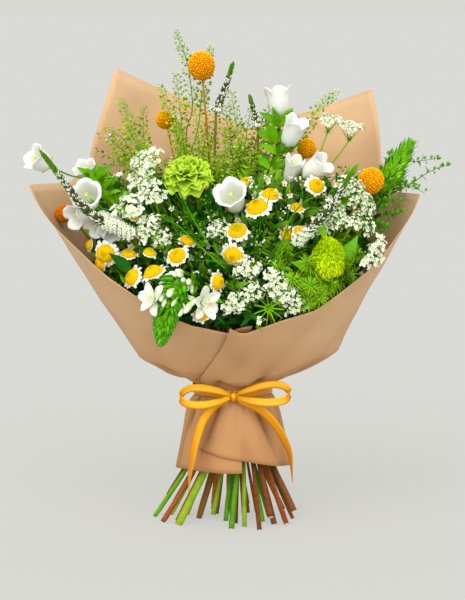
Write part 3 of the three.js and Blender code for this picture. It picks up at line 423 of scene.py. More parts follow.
# %% The plant finishes
GREEN_STEM = plant("green_stem", (96, 150, 18), (84, 150, 14), 0.5, 0.6, 120, 0.5)
WOODY_STEM = plant("woody_stem", (150, 78, 34), (120, 104, 30), 0.9, 0.9, 260, 0.7, 1.0)
BRIGHT_LEAF = plant("bright_leaf", (132, 188, 16), (88, 164, 8), 0.6, 0.5, 140, 0.4)
DARK_LEAF = plant("dark_leaf", (30, 96, 4), (16, 82, 2), 0.8, 0.4, 140, 0.38)
FINE_LEAF = plant("fine_leaf", (92, 162, 8), (150, 196, 16), 0.8, 0.4, 200, 0.5)
NEAR_LEAF = plant("near_leaf", (44, 104, 2), (112, 162, 4), 1.0, 0.5, 200, 0.5)
GRASS_BLADE = plant("grass_blade", (44, 116, 8), (76, 150, 8), 0.5, 0.4, 200, 0.45)
VINE_LEAF = plant("vine_leaf", (52, 122, 10), (96, 156, 14), 0.6, 0.4, 200, 0.5)
CRASPEDIA = plant("craspedia", (230, 110, 0), (255, 196, 2), 0.3, 0.3, 900, 0.85, 0.4)
BELL = plant("bell_petal", (226, 232, 212), (240, 240, 238), 0.06, 0.08, 90, 0.5, 0.2,
             Subsurface_Weight=0.1, Subsurface_Scale=0.002)
STIGMA = plant("stigma", (228, 228, 110), (246, 242, 130), 0.1, 0.2, 400)
DISC = plant("daisy_disc", (248, 172, 0), (255, 220, 0), 0.3, 0.3, 900, 0.85, 0.4)
DISC_EYE = plant("daisy_eye", (178, 176, 4), (222, 204, 6), 0.3, 0.3, 900, 0.85)
RAY = plant("daisy_ray", (240, 242, 222), (254, 254, 250), 0.12, 0.1, 300, 0.6)
CARNATION = plant("carnation", (104, 166, 0), (196, 228, 62), 0.25, 0.2, 180, 0.6)
TRICK = plant("green_trick", (180, 228, 4), (242, 255, 24), 0.35, 0.3, 400, 0.8)
STAR = plant("star_petal", (226, 236, 196), (254, 254, 250), 0.08, 0.1, 200, 0.5)
STAMEN = plant("stamen", (230, 190, 30), (236, 176, 10), 0.4, 0.2, 400)
CONE_BUD = plant("cone_bud", (150, 206, 30), (44, 154, 2), 0.5, 0.3, 200, 0.42)
WHITE_BUD = plant("white_bud", (150, 200, 40), (252, 254, 236), 0.1, 0.1, 200, 0.45)
VERONICA_DARK = plant("veronica_bud", (60, 66, 34), (96, 104, 60), 0.9, 0.4, 900, 0.7)
VERONICA_TIP = plant("veronica_tip", (66, 110, 20), (100, 156, 24), 0.5, 0.4, 900, 0.7)
WHITE_FLORET = plant("white_floret", (214, 230, 170), (254, 254, 248), 0.1, 0.1, 300, 0.6)
LACE_HEART = plant("lace_heart", (140, 190, 30), (196, 222, 80), 0.4, 0.2, 500, 0.7)
POD = plant("pod", (176, 200, 20), (132, 172, 12), 0.7, 0.4, 300, 0.5)
DRY = plant("dry_bit", (170, 130, 50), (120, 78, 24), 0.7, 0.5, 300, 0.9)
print(len(bpy.data.materials), "finishes so far")

# %% [markdown]
# ## The floor
# A plain floor is enough. It is very wide, so that its far edge melts into the sky. Part of its tone is
# painted light: it glows a little, which thins out the shadows on it. It has a faint mottle, because no floor
# is one flat tone.

# %% The floor
FLOOR_REACH = 250.0


FLOOR_TINT = (0.182, 0.183, 0.1745, 1)
# painted light: the floor's own glow, which thins the shadows on it
FLOOR_GLOW = 2.6


def floor_finish():
    """A plain surface with a slow change of tone and a little painted light of its own."""
    material, tree, shader = new_material("studio_floor")
    darker = tuple(c * (1 - 0.02) for c in FLOOR_TINT[:3]) + (1,)
    tree.links.new(mixed(tree, noise(tree, 1.5), FLOOR_TINT, darker), shader.inputs["Base Color"])
    give(shader, Roughness=0.8, Specular_IOR_Level=0, Emission_Color=FLOOR_TINT, Emission_Strength=FLOOR_GLOW)
    return material


mesh = bpy.data.meshes.new("floor")
corners = [(x * FLOOR_REACH, y * FLOOR_REACH, 0) for x, y in ((-1, -1), (1, -1), (1, 1), (-1, 1))]
mesh.from_pydata(corners, [], [(0, 1, 2, 3)])
mesh.materials.append(floor_finish())
floor = bpy.data.objects.new("floor", mesh)
bpy.context.scene.collection.objects.link(floor)

# %% [markdown]
# ## The kraft paper
# Each sheet is stiff paper that was rolled round the bunch, gathered at the tie and opened out again.
# Modelling it flat and bending it would need a simulation. Its form has a simple rule instead: at each
# direction round the bunch it leaves the waist, turns out along a shelf, is creased, and rises as a
# straight wall. The points follow that rule, and folds pulled in by the ribbon are laid over it.

# %% The rule of the wrap, in millimetres and degrees
PAPER_THICKNESS = 0.45
LAYER = 2.6  # from the middle of the inner sheet to the middle of the outer one
WAIST_TOP, WAIST_BOTTOM, WAIST_RADIUS = 155.5, 138.0, 38.5
HEM_GROWTH, SKIRT_DROP = 24.0, 87.0
WALL = [  # direction, radius and height of the crease, and outward lean above it
    (10, 113, 190, 0.37), (40, 108, 190, 0.35), (60, 98, 186, 0.27), (90, 84, 180, 0.28),
    (140, 97, 180, 0.25), (160, 101, 179, 0.36), (190, 103, 178, 0.63), (215, 92, 175, 0.785),
    (240, 72, 168, 0.9), (270, 58, 160, 0.95), (310, 72, 168, 0.82), (330, 94, 182, 0.69),
    (350, 112, 188, 0.53),
]
LEFT_RIM = [(70, 405), (140, 491), (160, 380), (170, 366), (190, 369), (200, 342), (210, 312),
            (220, 279), (230, 254), (240, 237), (250, 227), (269, 218), (271, 223), (276, 226), (280, 227)]
RIGHT_RIM = [(269, 230), (271, 225), (273.5, 221.5), (277, 221), (283, 225.5), (310, 242), (330, 280),
             (335, 297), (350, 360), (370, 358), (385, 390), (400, 468), (418, 443), (446, 421), (460, 405)]
LEFT_HEM = [(70, 56), (180, 53), (215, 58), (280, 58)]
RIGHT_HEM = [(230, 82), (278, 72), (320, 62), (360, 56), (460, 58)]
FRONT_LEAN = 39  # degrees that the outer sheet's front edge swings between waist and rim


def along(stations, at):
    return float(np.interp(at, *np.array(stations, float).T))


def around(column, azimuth):
    """A smooth closed run through one column of the wall's stations."""
    rows = [(row[0] + turn, row[column]) for turn in (-360, 0, 360) for row in WALL]
    at = 10 + (azimuth - 10) % 360
    k = max(i for i, row in enumerate(rows) if row[0] <= at)
    (a0, a), (b0, b), (c0, c), (d0, d) = rows[k - 1:k + 3]
    span = c0 - b0
    t = (at - b0) / span
    into, out = (c - a) / (c0 - a0) * span, (d - b) / (d0 - b0) * span
    return ((2 * t**3 - 3 * t**2 + 1) * b + (t**3 - 2 * t**2 + t) * into
            + (3 * t**2 - 2 * t**3) * c + (t**3 - t**2) * out)


def wrap_radius(z, crease):
    """How far the paper is from the middle at a height, before its folds."""
    crease_radius, crease_height, lean = crease
    if z >= crease_height:
        return crease_radius + lean * (z - crease_height)
    if z > WAIST_TOP:
        rise = (z - WAIST_TOP) / (crease_height - WAIST_TOP)
        return WAIST_RADIUS + (crease_radius - WAIST_RADIUS) * rise ** 0.6
    if z > WAIST_BOTTOM:
        return WAIST_RADIUS
    return WAIST_RADIUS + HEM_GROWTH * ((WAIST_BOTTOM - z) / SKIRT_DROP) ** 0.6


# %% Folds that the ribbon pulls in
FOLD_DRAWS = draws(12)
# direction, half width, depth, how far it runs below and above the tie, and its slant in degrees a mm
FOLDS = [(208, 6, 7.0, 34, 34, -0.3), (230, 6, 3.0, 30, 14, -0.2), (255, 7, 7.0, 64, 14, -0.36),
         (267, 3.5, 4.5, 15, 8, 0), (275, 3, 3.0, 26, 8, 0), (285, 3.5, 4.5, 16, 8, 0),
         (301, 7, 8.5, 62, 20, 0.34), (322, 6, 4.0, 34, 22, 0.2), (340, 5, 5.0, 30, 40, 0.2)]
LEAST, VARIED = np.array([0, 4, 3, 26, 30]), np.array([8, 3, 3, 20, 30])  # in the order of FOLDS
for azimuth in range(355, 575, 19):  # less regular folds round the back
    FOLDS.append((*(LEAST + VARIED * FOLD_DRAWS.random(5) + (azimuth, 0, 0, 0, 0)), 0))
FACET_WAVES = ((0.13, 0.07), (0.21, -0.05), (0.05, 0.12))  # radians for each degree and each mm of height


def facets(azimuth, z):
    """The flat faces that handling leaves in stiff paper, as crossing triangle waves."""
    return sum(math.asin(math.sin(azimuth * a + z * b)) for a, b in FACET_WAVES)


FOLD_REACH = 40  # degrees beyond which a fold isn't felt


def fold_depth(azimuth, z, radius):
    """How far the folds and pleats move the paper in or out at a place."""
    depth = 1.2 * math.exp(-(((z - 84) / 42) ** 2)) * math.sin(math.radians(7 * azimuth + 20))
    depth += 0.3 * facets(azimuth, z) * (1 if z < WAIST_BOTTOM - 8 else 0.8 if z > WAIST_TOP + 8 else 0.2)
    off = WAIST_BOTTOM - z if z < WAIST_BOTTOM else max(z - WAIST_TOP, (radius - WAIST_RADIUS) * 0.8)
    if z > WAIST_BOTTOM and off <= 0:
        return depth
    for direction, half, deep, below, above, slant in FOLDS:
        direction += slant * (off if z < WAIST_BOTTOM else 0)
        apart = abs((azimuth - direction + 180) % 360 - 180)
        if apart > FOLD_REACH:
            continue
        near = min(1, off / 6) * math.exp(-((off / (below if z < WAIST_BOTTOM else above)) ** 2))
        spread = half * (1 + 0.5 * off / below)
        sharp = math.exp(-1.3 * apart / spread) - 0.4 * math.exp(-(((apart - 2 * spread) / spread) ** 2))
        depth -= deep * near * sharp
    return depth


# %% One sheet
# how far out and how far down a fold moves the paper, at each of seven heights from hem to rim
WAYS = np.array([(1, 0), (1, 0.1), (1, 0.2), (1, 1), (0.6, 1.1), (1, 0.7), (1, 0.4)])
# the rows of points between those heights, and two more that keep the crease sharp
ROW_SHARES = np.concatenate([np.linspace(k, k + 1, n, endpoint=False) for k, n in
                             enumerate((8, 12, 2, 8, 12, 20))] + [[4.97, 5.015, 6]])
ROW_SHARES.sort()
SKIRT_MIDDLE = 112
COLUMN_STEP = 1.25
SWING = (0, 0.4, 0.66, 0.84, 0.94, 1)  # how much of the front edge's lean is reached, from waist to rim


def paper_sheet(name, start, end, rim, hem, layer, lean, curl=0.0, tucked=999):
    """One sheet of paper from its hem to its rim, as a grid of columns round the bunch.

    Beyond the direction `tucked` it lies behind the other sheet, and above 200 mm it is painted darker there,
    as that sheet's shade.
    """
    columns = int((end - start) / COLUMN_STEP)
    slow = draws(len(name)).random((3, 4)) * 2 * math.pi
    points, heights, fold_shades = [], [], []
    for column in range(columns + 1):
        grid = start + column * COLUMN_STEP
        lean_here = lean * max(0, 1 - (grid - start) / 60)
        crease = around(2, grid)
        top = along(rim, grid + lean_here)
        keys = [along(hem, grid), SKIRT_MIDDLE, WAIST_BOTTOM, WAIST_TOP,
                WAIST_TOP + (crease - WAIST_TOP) * 0.4, crease, top]
        for share in ROW_SHARES:
            z = float(np.interp(share, range(7), keys))
            way = [float(np.interp(share, range(7), WAYS[:, k])) for k in (0, 1)]
            swing = float(spread_over(SWING, (z - WAIST_TOP) / (top - WAIST_TOP)))
            azimuth = grid + lean_here * swing
            measures = [around(k, azimuth) for k in (1, 2, 3)]
            above = max(0, z - measures[1])
            slack = min(1, above / 60) * sum(
                0.6 * math.sin(math.radians(azimuth) * (3 + 2 * k) + above / (45 - 9 * k) + slow[0][k])
                for k in range(3))
            offset = layer + (curl * max(0, 1 - (grid - start) / 12) ** 2 * max(0, swing - 0.72) ** 2)
            radius = wrap_radius(z, measures)
            out = fold_depth(azimuth, z, radius) + slack + offset
            radius += out * way[0]
            angle = math.radians(azimuth)
            points.append((radius * math.cos(angle), radius * math.sin(angle), z - out * way[1]))
            # painted light: the paper is paler near its rim and at its two lit sides, kept in `run`
            side = abs(math.cos(angle)) * min(1, max(0, 0.5 - 2 * math.sin(angle)))
            heights.append((z - 60) / 400 + 0.42 * side * min(1, max(0, (z - 172) / 40)))
            # painted shade: darker where a fold dips in and behind the other sheet, lighter where a facet
            # stands out, kept in `tone`
            fold_shades.append(0.5 + (out - offset - slack) / 12 - 0.4 * (grid > tucked and z > 200))
    growth = Growth()
    growth.add(np.array(points), [grid_faces(columns + 1, len(ROW_SHARES))], np.clip(heights, 0, 1),
               np.clip(fold_shades, 0, 1))
    return piece(f"{name}_skin", growth, KRAFT, [name], "kraft_paper", PAPER_THICKNESS)


# %% The paper's finish: fibres, faint specks, painted shade in its folds and painted light toward its rim and sides
def kraft_paper():
    material, tree, shader = new_material("kraft_paper")
    fibre = noise(tree, 900, 3)
    cloud = noise(tree, 14, 2)
    specks = masked(tree, noise(tree, 1500, 1), 0.68, 0.74)
    # painted light and shade: paler toward the rim and at the two lit sides, darker low on the skirt
    base = mixed(tree, attribute(tree, "run"), seen_as(190, 137, 85), seen_as(231, 196, 153))
    base = tinted(tree, base, cloud, 0.3, seen_as(190, 138, 90))
    base = tinted(tree, base, fibre, 0.3, seen_as(180, 130, 84))
    base = tinted(tree, base, specks, 0.25, seen_as(136, 92, 50))
    # painted shade in the folds and behind the other sheet
    painted_fold_shade = math_node(tree, "SUBTRACT", 0.5, attribute(tree, "tone"))
    base = tinted(tree, base, painted_fold_shade, 2.0, seen_as(132, 84, 42))
    tree.links.new(base, shader.inputs["Base Color"])
    crumple = math_node(tree, "ADD", math_node(tree, "MULTIPLY", noise(tree, 30, 3), 6.0), fibre)
    relief(tree, shader, crumple, 0.35, 0.0005)
    give(shader, Roughness=0.78, Specular_IOR_Level=0.3)
    return material


KRAFT = kraft_paper()
paper_sheet("paper_sheet_left", 70, 280, LEFT_RIM, LEFT_HEM, 0, 0, tucked=270)
paper_sheet("paper_sheet_right", 230, 460, RIGHT_RIM, RIGHT_HEM, LAYER, FRONT_LEAN, 60)

# %% [markdown]
# ## The ribbon
# Satin ribbon is flat and springy. It goes once round the waist, is knotted in front and falls in two
# loops and two tails. A strip that follows a curve would twist by itself, so the direction of its width
# is given at each point of the curve, as a hand would turn it.

# %% Strips of ribbon
RIBBON_WIDTH = 9.4
RIBBON_THICKNESS = 0.35


def strip(growth, points, sides, width=RIBBON_WIDTH, steps=10, across=4, arch=0.35):
    """A strip along the points. The sides say which way its width lies, and the arch lifts its middle."""
    line, toward = smooth(points, steps), smooth(sides, steps)
    runs = runs_along(line)
    toward -= runs * np.sum(toward * runs, axis=1)[:, None]
    toward /= np.linalg.norm(toward, axis=1)[:, None]
    face = np.cross(runs, toward)
    share = np.linspace(0, 1, len(line))
    widths = spread_over(width, share)
    v = np.linspace(-1, 1, across + 1)
    points = (line[:, None] + toward[:, None] * (v[:, None] * widths[:, None, None] / 2)
              + face[:, None] * (arch * (1 - v * v))[:, None])
    growth.add(points.reshape(-1, 3), [grid_faces(len(line), across + 1)], np.repeat(share, across + 1),
               np.tile(v / 2 + 0.5, len(line)))
    return float(np.linalg.norm(np.diff(line, axis=0), axis=1).sum())


# %% The band, the loops, the tails and the knot
BAND_RADIUS, BAND_HEIGHT = 44.0, 143.4
KNOT = (1, -53, 141)
LEFT_LOOP = [(-1, -50, 142), (-14, -53, 147), (-30, -55, 150.5), (-44, -57, 151), (-53, -61, 147.5),
             (-56, -66, 141.5), (-49, -70, 136), (-34, -70, 134.5), (-18, -65, 136.5), (-2, -55, 140)]
RIGHT_LOOP = [(3, -50, 143), (16, -53, 148), (32, -54, 153), (47, -54, 154.5), (58, -56, 151.5),
              (62, -60, 145), (55, -66, 139), (40, -67, 137), (22, -64, 138), (4, -55, 140.5)]
LOOP_SIDES = [(0, 0.5, 0.8), (0, 0.35, 0.95), (0, 0.3, 0.95), (0, 0.25, 0.95), (0, 0.2, 0.98),
              (0, 0.1, 1), (0, 0.2, 0.98), (0, 0.3, 0.95), (0, 0.4, 0.9), (0, 0.5, 0.8)]
LEFT_TAIL = [(-1, -54, 140), (-10, -58, 137), (-22, -62, 130), (-32, -64, 116), (-38.5, -65, 99),
             (-43, -65.5, 80), (-46, -65, 60), (-47.5, -65, 37)]
LEFT_TAIL_SIDES = [(0.3, 0.6, -0.7), (0.4, 0.3, -0.85), (0.6, 0.1, -0.75), (0.85, 0, -0.5),
                   (0.9, -0.3, -0.2), (0.75, -0.6, 0), (0.5, -0.85, 0), (0.25, -0.95, 0)]
RIGHT_TAIL = [(3, -54, 140), (12, -59, 136), (25, -61, 131), (38, -60, 121), (49.5, -57, 106),
              (58, -54, 90), (63, -51, 74), (65.5, -48, 46)]
RIGHT_TAIL_SIDES = [(0.3, -0.6, 0.7), (0.5, -0.3, 0.85), (0.6, -0.25, 0.75), (0.75, -0.2, 0.6),
                    (0.85, -0.3, 0.4), (0.8, -0.55, 0.2), (0.55, -0.8, 0), (0.35, -0.9, 0)]
LOOP_WIDTHS = (4, 7.4, 8.4, 8, 8, 8, 8.6, 9.2, 8, 4)
TAIL_WIDTHS = (5, 8.5, 9.4, 9.4, 9.4, 9.4, 9, 1.5)
DIP_DEPTH, DIP_ANGLE = 2.4, 24  # the knot pulls the band down in front

ribbon = Growth()
turns = np.radians(np.linspace(-88, 268, 41))
off_front = np.degrees(np.abs((turns + math.pi / 2 + math.pi) % (2 * math.pi) - math.pi))
dip = DIP_DEPTH * np.exp(-((off_front / DIP_ANGLE) ** 2))
band = np.stack([BAND_RADIUS * np.cos(turns), BAND_RADIUS * np.sin(turns), BAND_HEIGHT - dip], -1)
lengths = [
    strip(ribbon, band, [(0, 0, 1)] * len(band), steps=3, arch=-0.25),
    strip(ribbon, LEFT_LOOP, LOOP_SIDES, LOOP_WIDTHS),
    strip(ribbon, RIGHT_LOOP, LOOP_SIDES, LOOP_WIDTHS),
    strip(ribbon, LEFT_TAIL, LEFT_TAIL_SIDES, TAIL_WIDTHS),
    strip(ribbon, RIGHT_TAIL, RIGHT_TAIL_SIDES, TAIL_WIDTHS),
]
wrap_angles = np.radians(np.linspace(20, 400, 17))
knot_turn = [(KNOT[0] + 0.6 * math.sin(2 * a), KNOT[1] + 5 * math.cos(a), KNOT[2] + 4.2 * math.sin(a))
             for a in wrap_angles]
lengths.append(strip(ribbon, knot_turn, [(1, 0, 0.35)] * len(knot_turn), 6, 4, arch=1.0))
for lift in (-2.0, 2.2):
    core = [(KNOT[0] - 5, KNOT[1] + 1, KNOT[2] - lift), (KNOT[0], KNOT[1] - 1.6, KNOT[2] + lift * 0.4),
            (KNOT[0] + 5, KNOT[1] + 1, KNOT[2] + lift)]
    lengths.append(strip(ribbon, core, [(0, 0.3, 1)] * 3, (5, 4, 5), 6, arch=1.2))


# %% Satin: fine threads across the ribbon, a soft sheen, and a painted highlight where it faces the front light with painted shade where it turns away
def satin():
    material, tree, shader = new_material("satin")
    threads = tree.nodes.new("ShaderNodeTexWave")
    give(threads, Scale=900, Distortion=0.4)
    along_it = tree.nodes.new("ShaderNodeCombineXYZ")
    tree.links.new(attribute(tree, "run"), along_it.inputs["X"])
    tree.links.new(along_it.outputs[0], threads.inputs["Vector"])
    edge = math_node(tree, "ABSOLUTE", math_node(tree, "SUBTRACT", attribute(tree, "tone"), 0.5), 0)
    base = mixed(tree, noise(tree, 160, 1), seen_as(222, 144, 0), seen_as(238, 166, 0))
    base = tinted(tree, base, masked(tree, edge, 0.42, 0.5), 0.35, seen_as(206, 122, 0))
    # painted highlight and painted shade: how much the ribbon faces a fixed light direction
    facing = tree.nodes.new("ShaderNodeVectorMath")
    facing.operation = "DOT_PRODUCT"
    normal = tree.nodes.new("ShaderNodeNewGeometry").outputs["Normal"]
    feed(tree, facing.inputs, (normal, (0.12, -0.84, 0.53)))
    painted_highlight = math_node(tree, "POWER", math_node(tree, "ABSOLUTE", facing.outputs["Value"], 0), 6)
    # painted shade where the ribbon turns away from that light, painted highlight where it faces it
    base = mixed(tree, math_node(tree, "SUBTRACT", 1.0, painted_highlight), base, seen_as(214, 134, 0))
    base = tinted(tree, base, painted_highlight, 0.7, seen_as(255, 206, 30))
    tree.links.new(base, shader.inputs["Base Color"])
    relief(tree, shader, threads.outputs["Fac"], 0.15, 0.0001)
    give(shader, Roughness=0.34, Specular_IOR_Level=0.25, Anisotropic=0.5)
    return material


bow = piece("ribbon_bow", ribbon, satin(), ["ribbon"], "satin_ribbon", RIBBON_THICKNESS)

# %% [markdown]
# ## The stems
# A hand-tied bunch is a spiral. Each stem leans the same way past the tie, so the stems fan out above
# and below it and the bunch stands on their cut ends. The stems are laid out as a florist would: each
# goes to the place in the tie that it came from, and is pushed aside until it touches no other.

# %% Every stem: the point where its head starts, its radius and its bark
TIE_HEIGHT, TIE_RADIUS, STEM_GAP = 147.0, 30.0, 1.1
FOOT_SPREAD, HEAD_SPREAD, FOOT_TWIST = 2.1, 0.0246, 22
STEMS = {
    "campanula_stem_right": ((48, 2, 405), 2.9, "green"),
    "craspedia_stem_1": ((-33, 19, 482), 1.6, "tan"),
    "craspedia_stem_2": ((-72, 38, 429), 1.3, "tan"),
    "craspedia_stem_3": ((-176, -18, 333), 1.3, "dark"),
    "craspedia_stem_4": ((144, -36, 364), 1.6, "tan"),
    "craspedia_stem_5": ((79, -4, 400), 1.3, "red"),
    "campanula_stem_left": ((-122, -60, 345), 3.1, "pale"),
    "campanula_stem_centre": ((8, -66, 330), 2, "green"),
    "feverfew_spray_centre": ((26, -62, 292), 2.2, "dark"),
    "feverfew_spray_right": ((84, -44, 338), 1.8, "green"),
    "feverfew_spray_left": ((-112, -64, 268), 2, "green"),
    "feverfew_spray_front": ((-72, -78, 250), 2.2, "red"),
    "carnation_stem": ((-47, -66, 362), 2.6, "dark"),
    "green_trick": ((92, -82, 278), 2.6, "red"),
    "ornithogalum_front": ((-36, -80, 242), 3.4, "pale"),
    "ornithogalum_right": ((152, -18, 348), 2.6, "dark"),
    "veronica_left": ((-96, -86, 300), 1.8, "red"),
    "veronica_top": ((-18, 0, 446), 1.7, "dark"),
    "veronica_small": ((28, -12, 430), 1.4, "red"),
    "veronica_right": ((52, -84, 288), 2, "pale"),
    "lace_left": ((-78, -50, 330), 2.2, "tan"),
    "lace_right": ((106, -48, 306), 2.6, "dark"),
    "lace_edge": ((124, -58, 272), 2, "red"),
    "lace_low": ((30, -74, 240), 2.4, "green"),
    "lace_top": ((84, 6, 380), 2, "green"),
    "lace_back": ((0, 84, 330), 2.4, "pale"),
    "thlaspi_left": ((-52, 28, 410), 1.5, "tan"),
    "thlaspi_far_left": ((-96, 24, 390), 1.4, "tan"),
    "thlaspi_centre": ((12, 6, 404), 1.5, "dark"),
    "vine": ((124, 6, 328), 1.6, "dark"),
    "feathery_green": ((78, -74, 246), 2, "red"),
    "grass": ((-52, -34, 300), 1.8, "pale"),
    "dark_leaves_left": ((-62, 66, 300), 2.4, "red"),
    "dark_leaves_right": ((64, 72, 300), 2.4, "dark"),
    "waxflower": ((-16, -56, 300), 2, "pale"),
    "front_leaves": ((-52, -66, 256), 2, "red"),
}


# %% The stems' places in the tie
def stem_slots():
    radii = [radius for _, radius, _ in STEMS.values()]
    slots = [complex(x, y) / (1 + HEAD_SPREAD * (z - TIE_HEIGHT)) for (x, y, z), _, _ in STEMS.values()]
    slots[0] = 0j
    for _ in range(600):
        for i in range(len(slots)):
            for j in range(i):
                apart = slots[i] - slots[j]
                push = (radii[i] + radii[j] + STEM_GAP - abs(apart)) / 2
                if push > 0:
                    apart *= push / abs(apart)
                    slots[i] += apart
                    slots[j] -= apart
        slots = [slot * min(1, (TIE_RADIUS - r) / max(abs(slot), 1e-9)) for slot, r in zip(slots, radii)]
        slots[0] = 0j
    return dict(zip(STEMS, slots))


SLOTS = stem_slots()


def stem_line(slot, z):
    """The point at a height on the line that all stems of the bunch follow from one slot."""
    below, above = max(0, (TIE_HEIGHT - z) / TIE_HEIGHT), max(0, z - TIE_HEIGHT)
    spread = 1 + FOOT_SPREAD * below**2 + HEAD_SPREAD * above
    angle = math.radians(-FOOT_TWIST * below)
    at = slot * spread * complex(math.cos(angle), math.sin(angle))
    return np.array([at.real, at.imag, z])


# %% The height of each cut end, and the points of each stem
def stem_feet():
    """Some stems were cut shorter and hang free, but never the middle one."""
    feet, state = {}, 7

    def draw():
        nonlocal state
        state = (state * 1664525 + 1013904223) & 0xFFFFFFFF
        return state / 2**32

    for name, slot in SLOTS.items():
        short = draw() if draw() < 0.42 else 0
        feet[name] = 0 if not feet else short * (22 if abs(slot) > 18 else 6)
    return feet


FEET = stem_feet()


def stem_points(name):
    neck, slot = np.array(STEMS[name][0], float), SLOTS[name]
    lean = neck - stem_line(slot, neck[2])
    points = [stem_line(slot, z) for z in (max(FEET[name], 0.0), 76, TIE_HEIGHT)]
    for t in (0.3, 0.65, 1):
        z = TIE_HEIGHT + (neck[2] - TIE_HEIGHT) * t
        points.append(stem_line(slot, z) + lean * t * t)
    return points


def on_line(points, share):
    """The point at a share of the length of a run of straight lines."""
    points = np.asarray(points, float)
    lengths = np.append(0, np.cumsum(np.linalg.norm(np.diff(points, axis=0), axis=1)))
    return np.array([np.interp(share * lengths[-1], lengths, points[:, k]) for k in range(3)])


def branch_root(name, order, last=5):
    """Where a branch leaves its stem: the first near the top, each of the next lower, down to the last."""
    return on_line(stem_points(name), 0.985 - 0.03 * min(order, last))


print("cut ends from", round(min(FEET.values()), 1), "to", round(max(FEET.values()), 1), "mm")

# %% [markdown]
# Bark differs from flower to flower: juicy green stems, paler ribbed ones, red-brown ones and dry tan ones.
# Stems of one bark are one piece. Each has small swellings where leaves were stripped, and a pale cut end.

# %% Growing the stems
BARKS = {
    "green": GREEN_STEM,
    "pale": plant("pale_stem", (142, 176, 34), (112, 166, 20), 0.4, 0.6, 130, 0.5),
    "tan": plant("tan_stem", (196, 120, 30), (170, 136, 36), 0.5, 0.7, 220, 0.7, 0.8),
    "red": WOODY_STEM,
    "dark": plant("dark_stem", (116, 72, 34), (90, 104, 24), 0.9, 0.9, 260, 0.7, 1.0),
}
CUT_END = plant("cut_end", (214, 206, 160), (228, 222, 182), 0.3, 0.4, 500, 0.8)
STEM_SIDES = 9
BEYOND = {  # points of a stem above its neck
    "craspedia_stem_1": [(-34, 20, 487)], "craspedia_stem_2": [(-73, 39, 432)],
    "craspedia_stem_3": [(-179, -19, 335)], "craspedia_stem_4": [(147, -38, 369)],
    "craspedia_stem_5": [(80, -5, 403)],
    "campanula_stem_left": [(-138, -58, 362), (-146, -60, 378)],
    "campanula_stem_centre": [(5, -70, 341)],
    "campanula_stem_right": [(51, 3, 431)],
    "carnation_stem": [(-47, -68, 374)],
    "green_trick": [(97, -93, 292)],
    "ornithogalum_front": [(-44, -104, 268), (-58, -124, 268), (-67, -133, 250), (-71, -133, 232),
                           (-73, -130, 216)],
    "ornithogalum_right": [(160, -15, 362), (176, -10, 385), (190, -5, 408)],
    "veronica_left": [(-108, -100, 323), (-136, -107, 335)],
    "veronica_top": [(-16, 1, 452)], "veronica_small": [(26, -11, 438)],
    "veronica_right": [(72, -100, 318)],
}


def whole_stem(name):
    return np.array(stem_points(name) + [np.array(point, float) for point in BEYOND.get(name, [])])


for bark, material in BARKS.items():
    growth, cuts = Growth(), Growth()
    names = [name for name, row in STEMS.items() if row[2] == bark]
    for name in names:
        draw = draws(len(name) * 7 + int(STEMS[name][1] * 10))
        radius = STEMS[name][1]
        along_it = np.linspace(0, 1, 60)
        radii = radius * (1 - 0.35 * along_it**2) * (1 + 0.05 * np.sin(along_it * 40 + draw.random() * 6))
        radii *= 1 + 0.3 * np.exp(-((along_it / 0.13) ** 2))
        for swelling in draw.random(4):
            radii += 0.16 * radius * np.exp(-(((along_it - swelling) / 0.012) ** 2))
        line = tube(growth, whole_stem(name), radii, STEM_SIDES, 12, draw.random())
        run = unit(line[0] - line[1])
        cut = [line[0] + run * 0.05, line[0] + run * 0.3]
        tube(cuts, cut, [radii[0] * 0.93, radii[0] * 0.88], STEM_SIDES, 1, draw.random())
        for made in (growth, cuts):  # cut level where a foot meets the floor
            made.points[-1][:, 2] = np.maximum(made.points[-1][:, 2], 0)
    piece(f"{bark}_stems", growth, material, names, "green_stem")
    piece(f"{bark}_cut_ends", cuts, CUT_END, names, "green_stem")

# %% [markdown]
# ## Small repeated forms
# Buds, florets, pods and bracts are made once as a small shape along +Z and set down many times.

# %% Shapes that are set down many times
def lathe(profile, sides=6):
    """A small turned shape: rings of (height, radius) closed at both ends."""
    angle = np.arange(sides) * 2 * math.pi / sides
    rings = [np.stack([r * np.cos(angle), r * np.sin(angle), h + 0 * angle], -1) for h, r in profile[1:-1]]
    points = np.vstack([*rings, [[0, 0, profile[0][0]], [0, 0, profile[-1][0]]]])
    heights = points[:, 2]
    return points, closed_faces(len(rings), sides), (heights - heights.min()) / np.ptp(heights)


BEAD = lathe([(0, 0), (0.12, 0.32), (0.45, 0.5), (0.8, 0.34), (1, 0)])
GRAIN = lathe([(-0.3, 0), (0, 0.5), (0.32, 0.34), (0.42, 0)], 5)


def set_down(growth, shape, at, way, size, length=None, tone=0.5, run=None, spin=0.0):
    """A small shape at a place, with its +Z along a way."""
    points, faces, own = shape
    z = unit(way)
    x = unit(np.cross((0.2, 0.9, 0.38) if abs(z[1]) < 0.9 else (1, 0, 0), z))
    if spin:
        x = spun(x, np.cross(z, x), spin)
    points = points * (size, size, length or size) @ np.array([x, np.cross(z, x), z]) + at
    growth.add(points, faces, own if run is None else run, tone)


def leaf(growth, shape, root, run, up, tone=0.5):
    """A petal or leaf made by sheet(), set at its root."""
    points, faces, own = shape
    growth.add(posed(points, root, run, up), faces, own, tone)


SAG = 0.08  # how far a stalk sags, for its length


def stalk(growth, start, end, radius, sides, tone):
    start, end = np.array(start, float), np.array(end, float)
    middle = (start + end) / 2 - (0, 0, np.linalg.norm(end - start) * SAG)
    tube(growth, [start, middle, end], radius, sides, 4, tone)


def whorl(growth, shape, angles, tilt, root, facing, draw):
    """Petals or bracts of one shape round a root, each leaning out from its facing."""
    for angle in angles:
        leaf(growth, shape, root, turned(facing, angle, tilt), facing, draw.random())


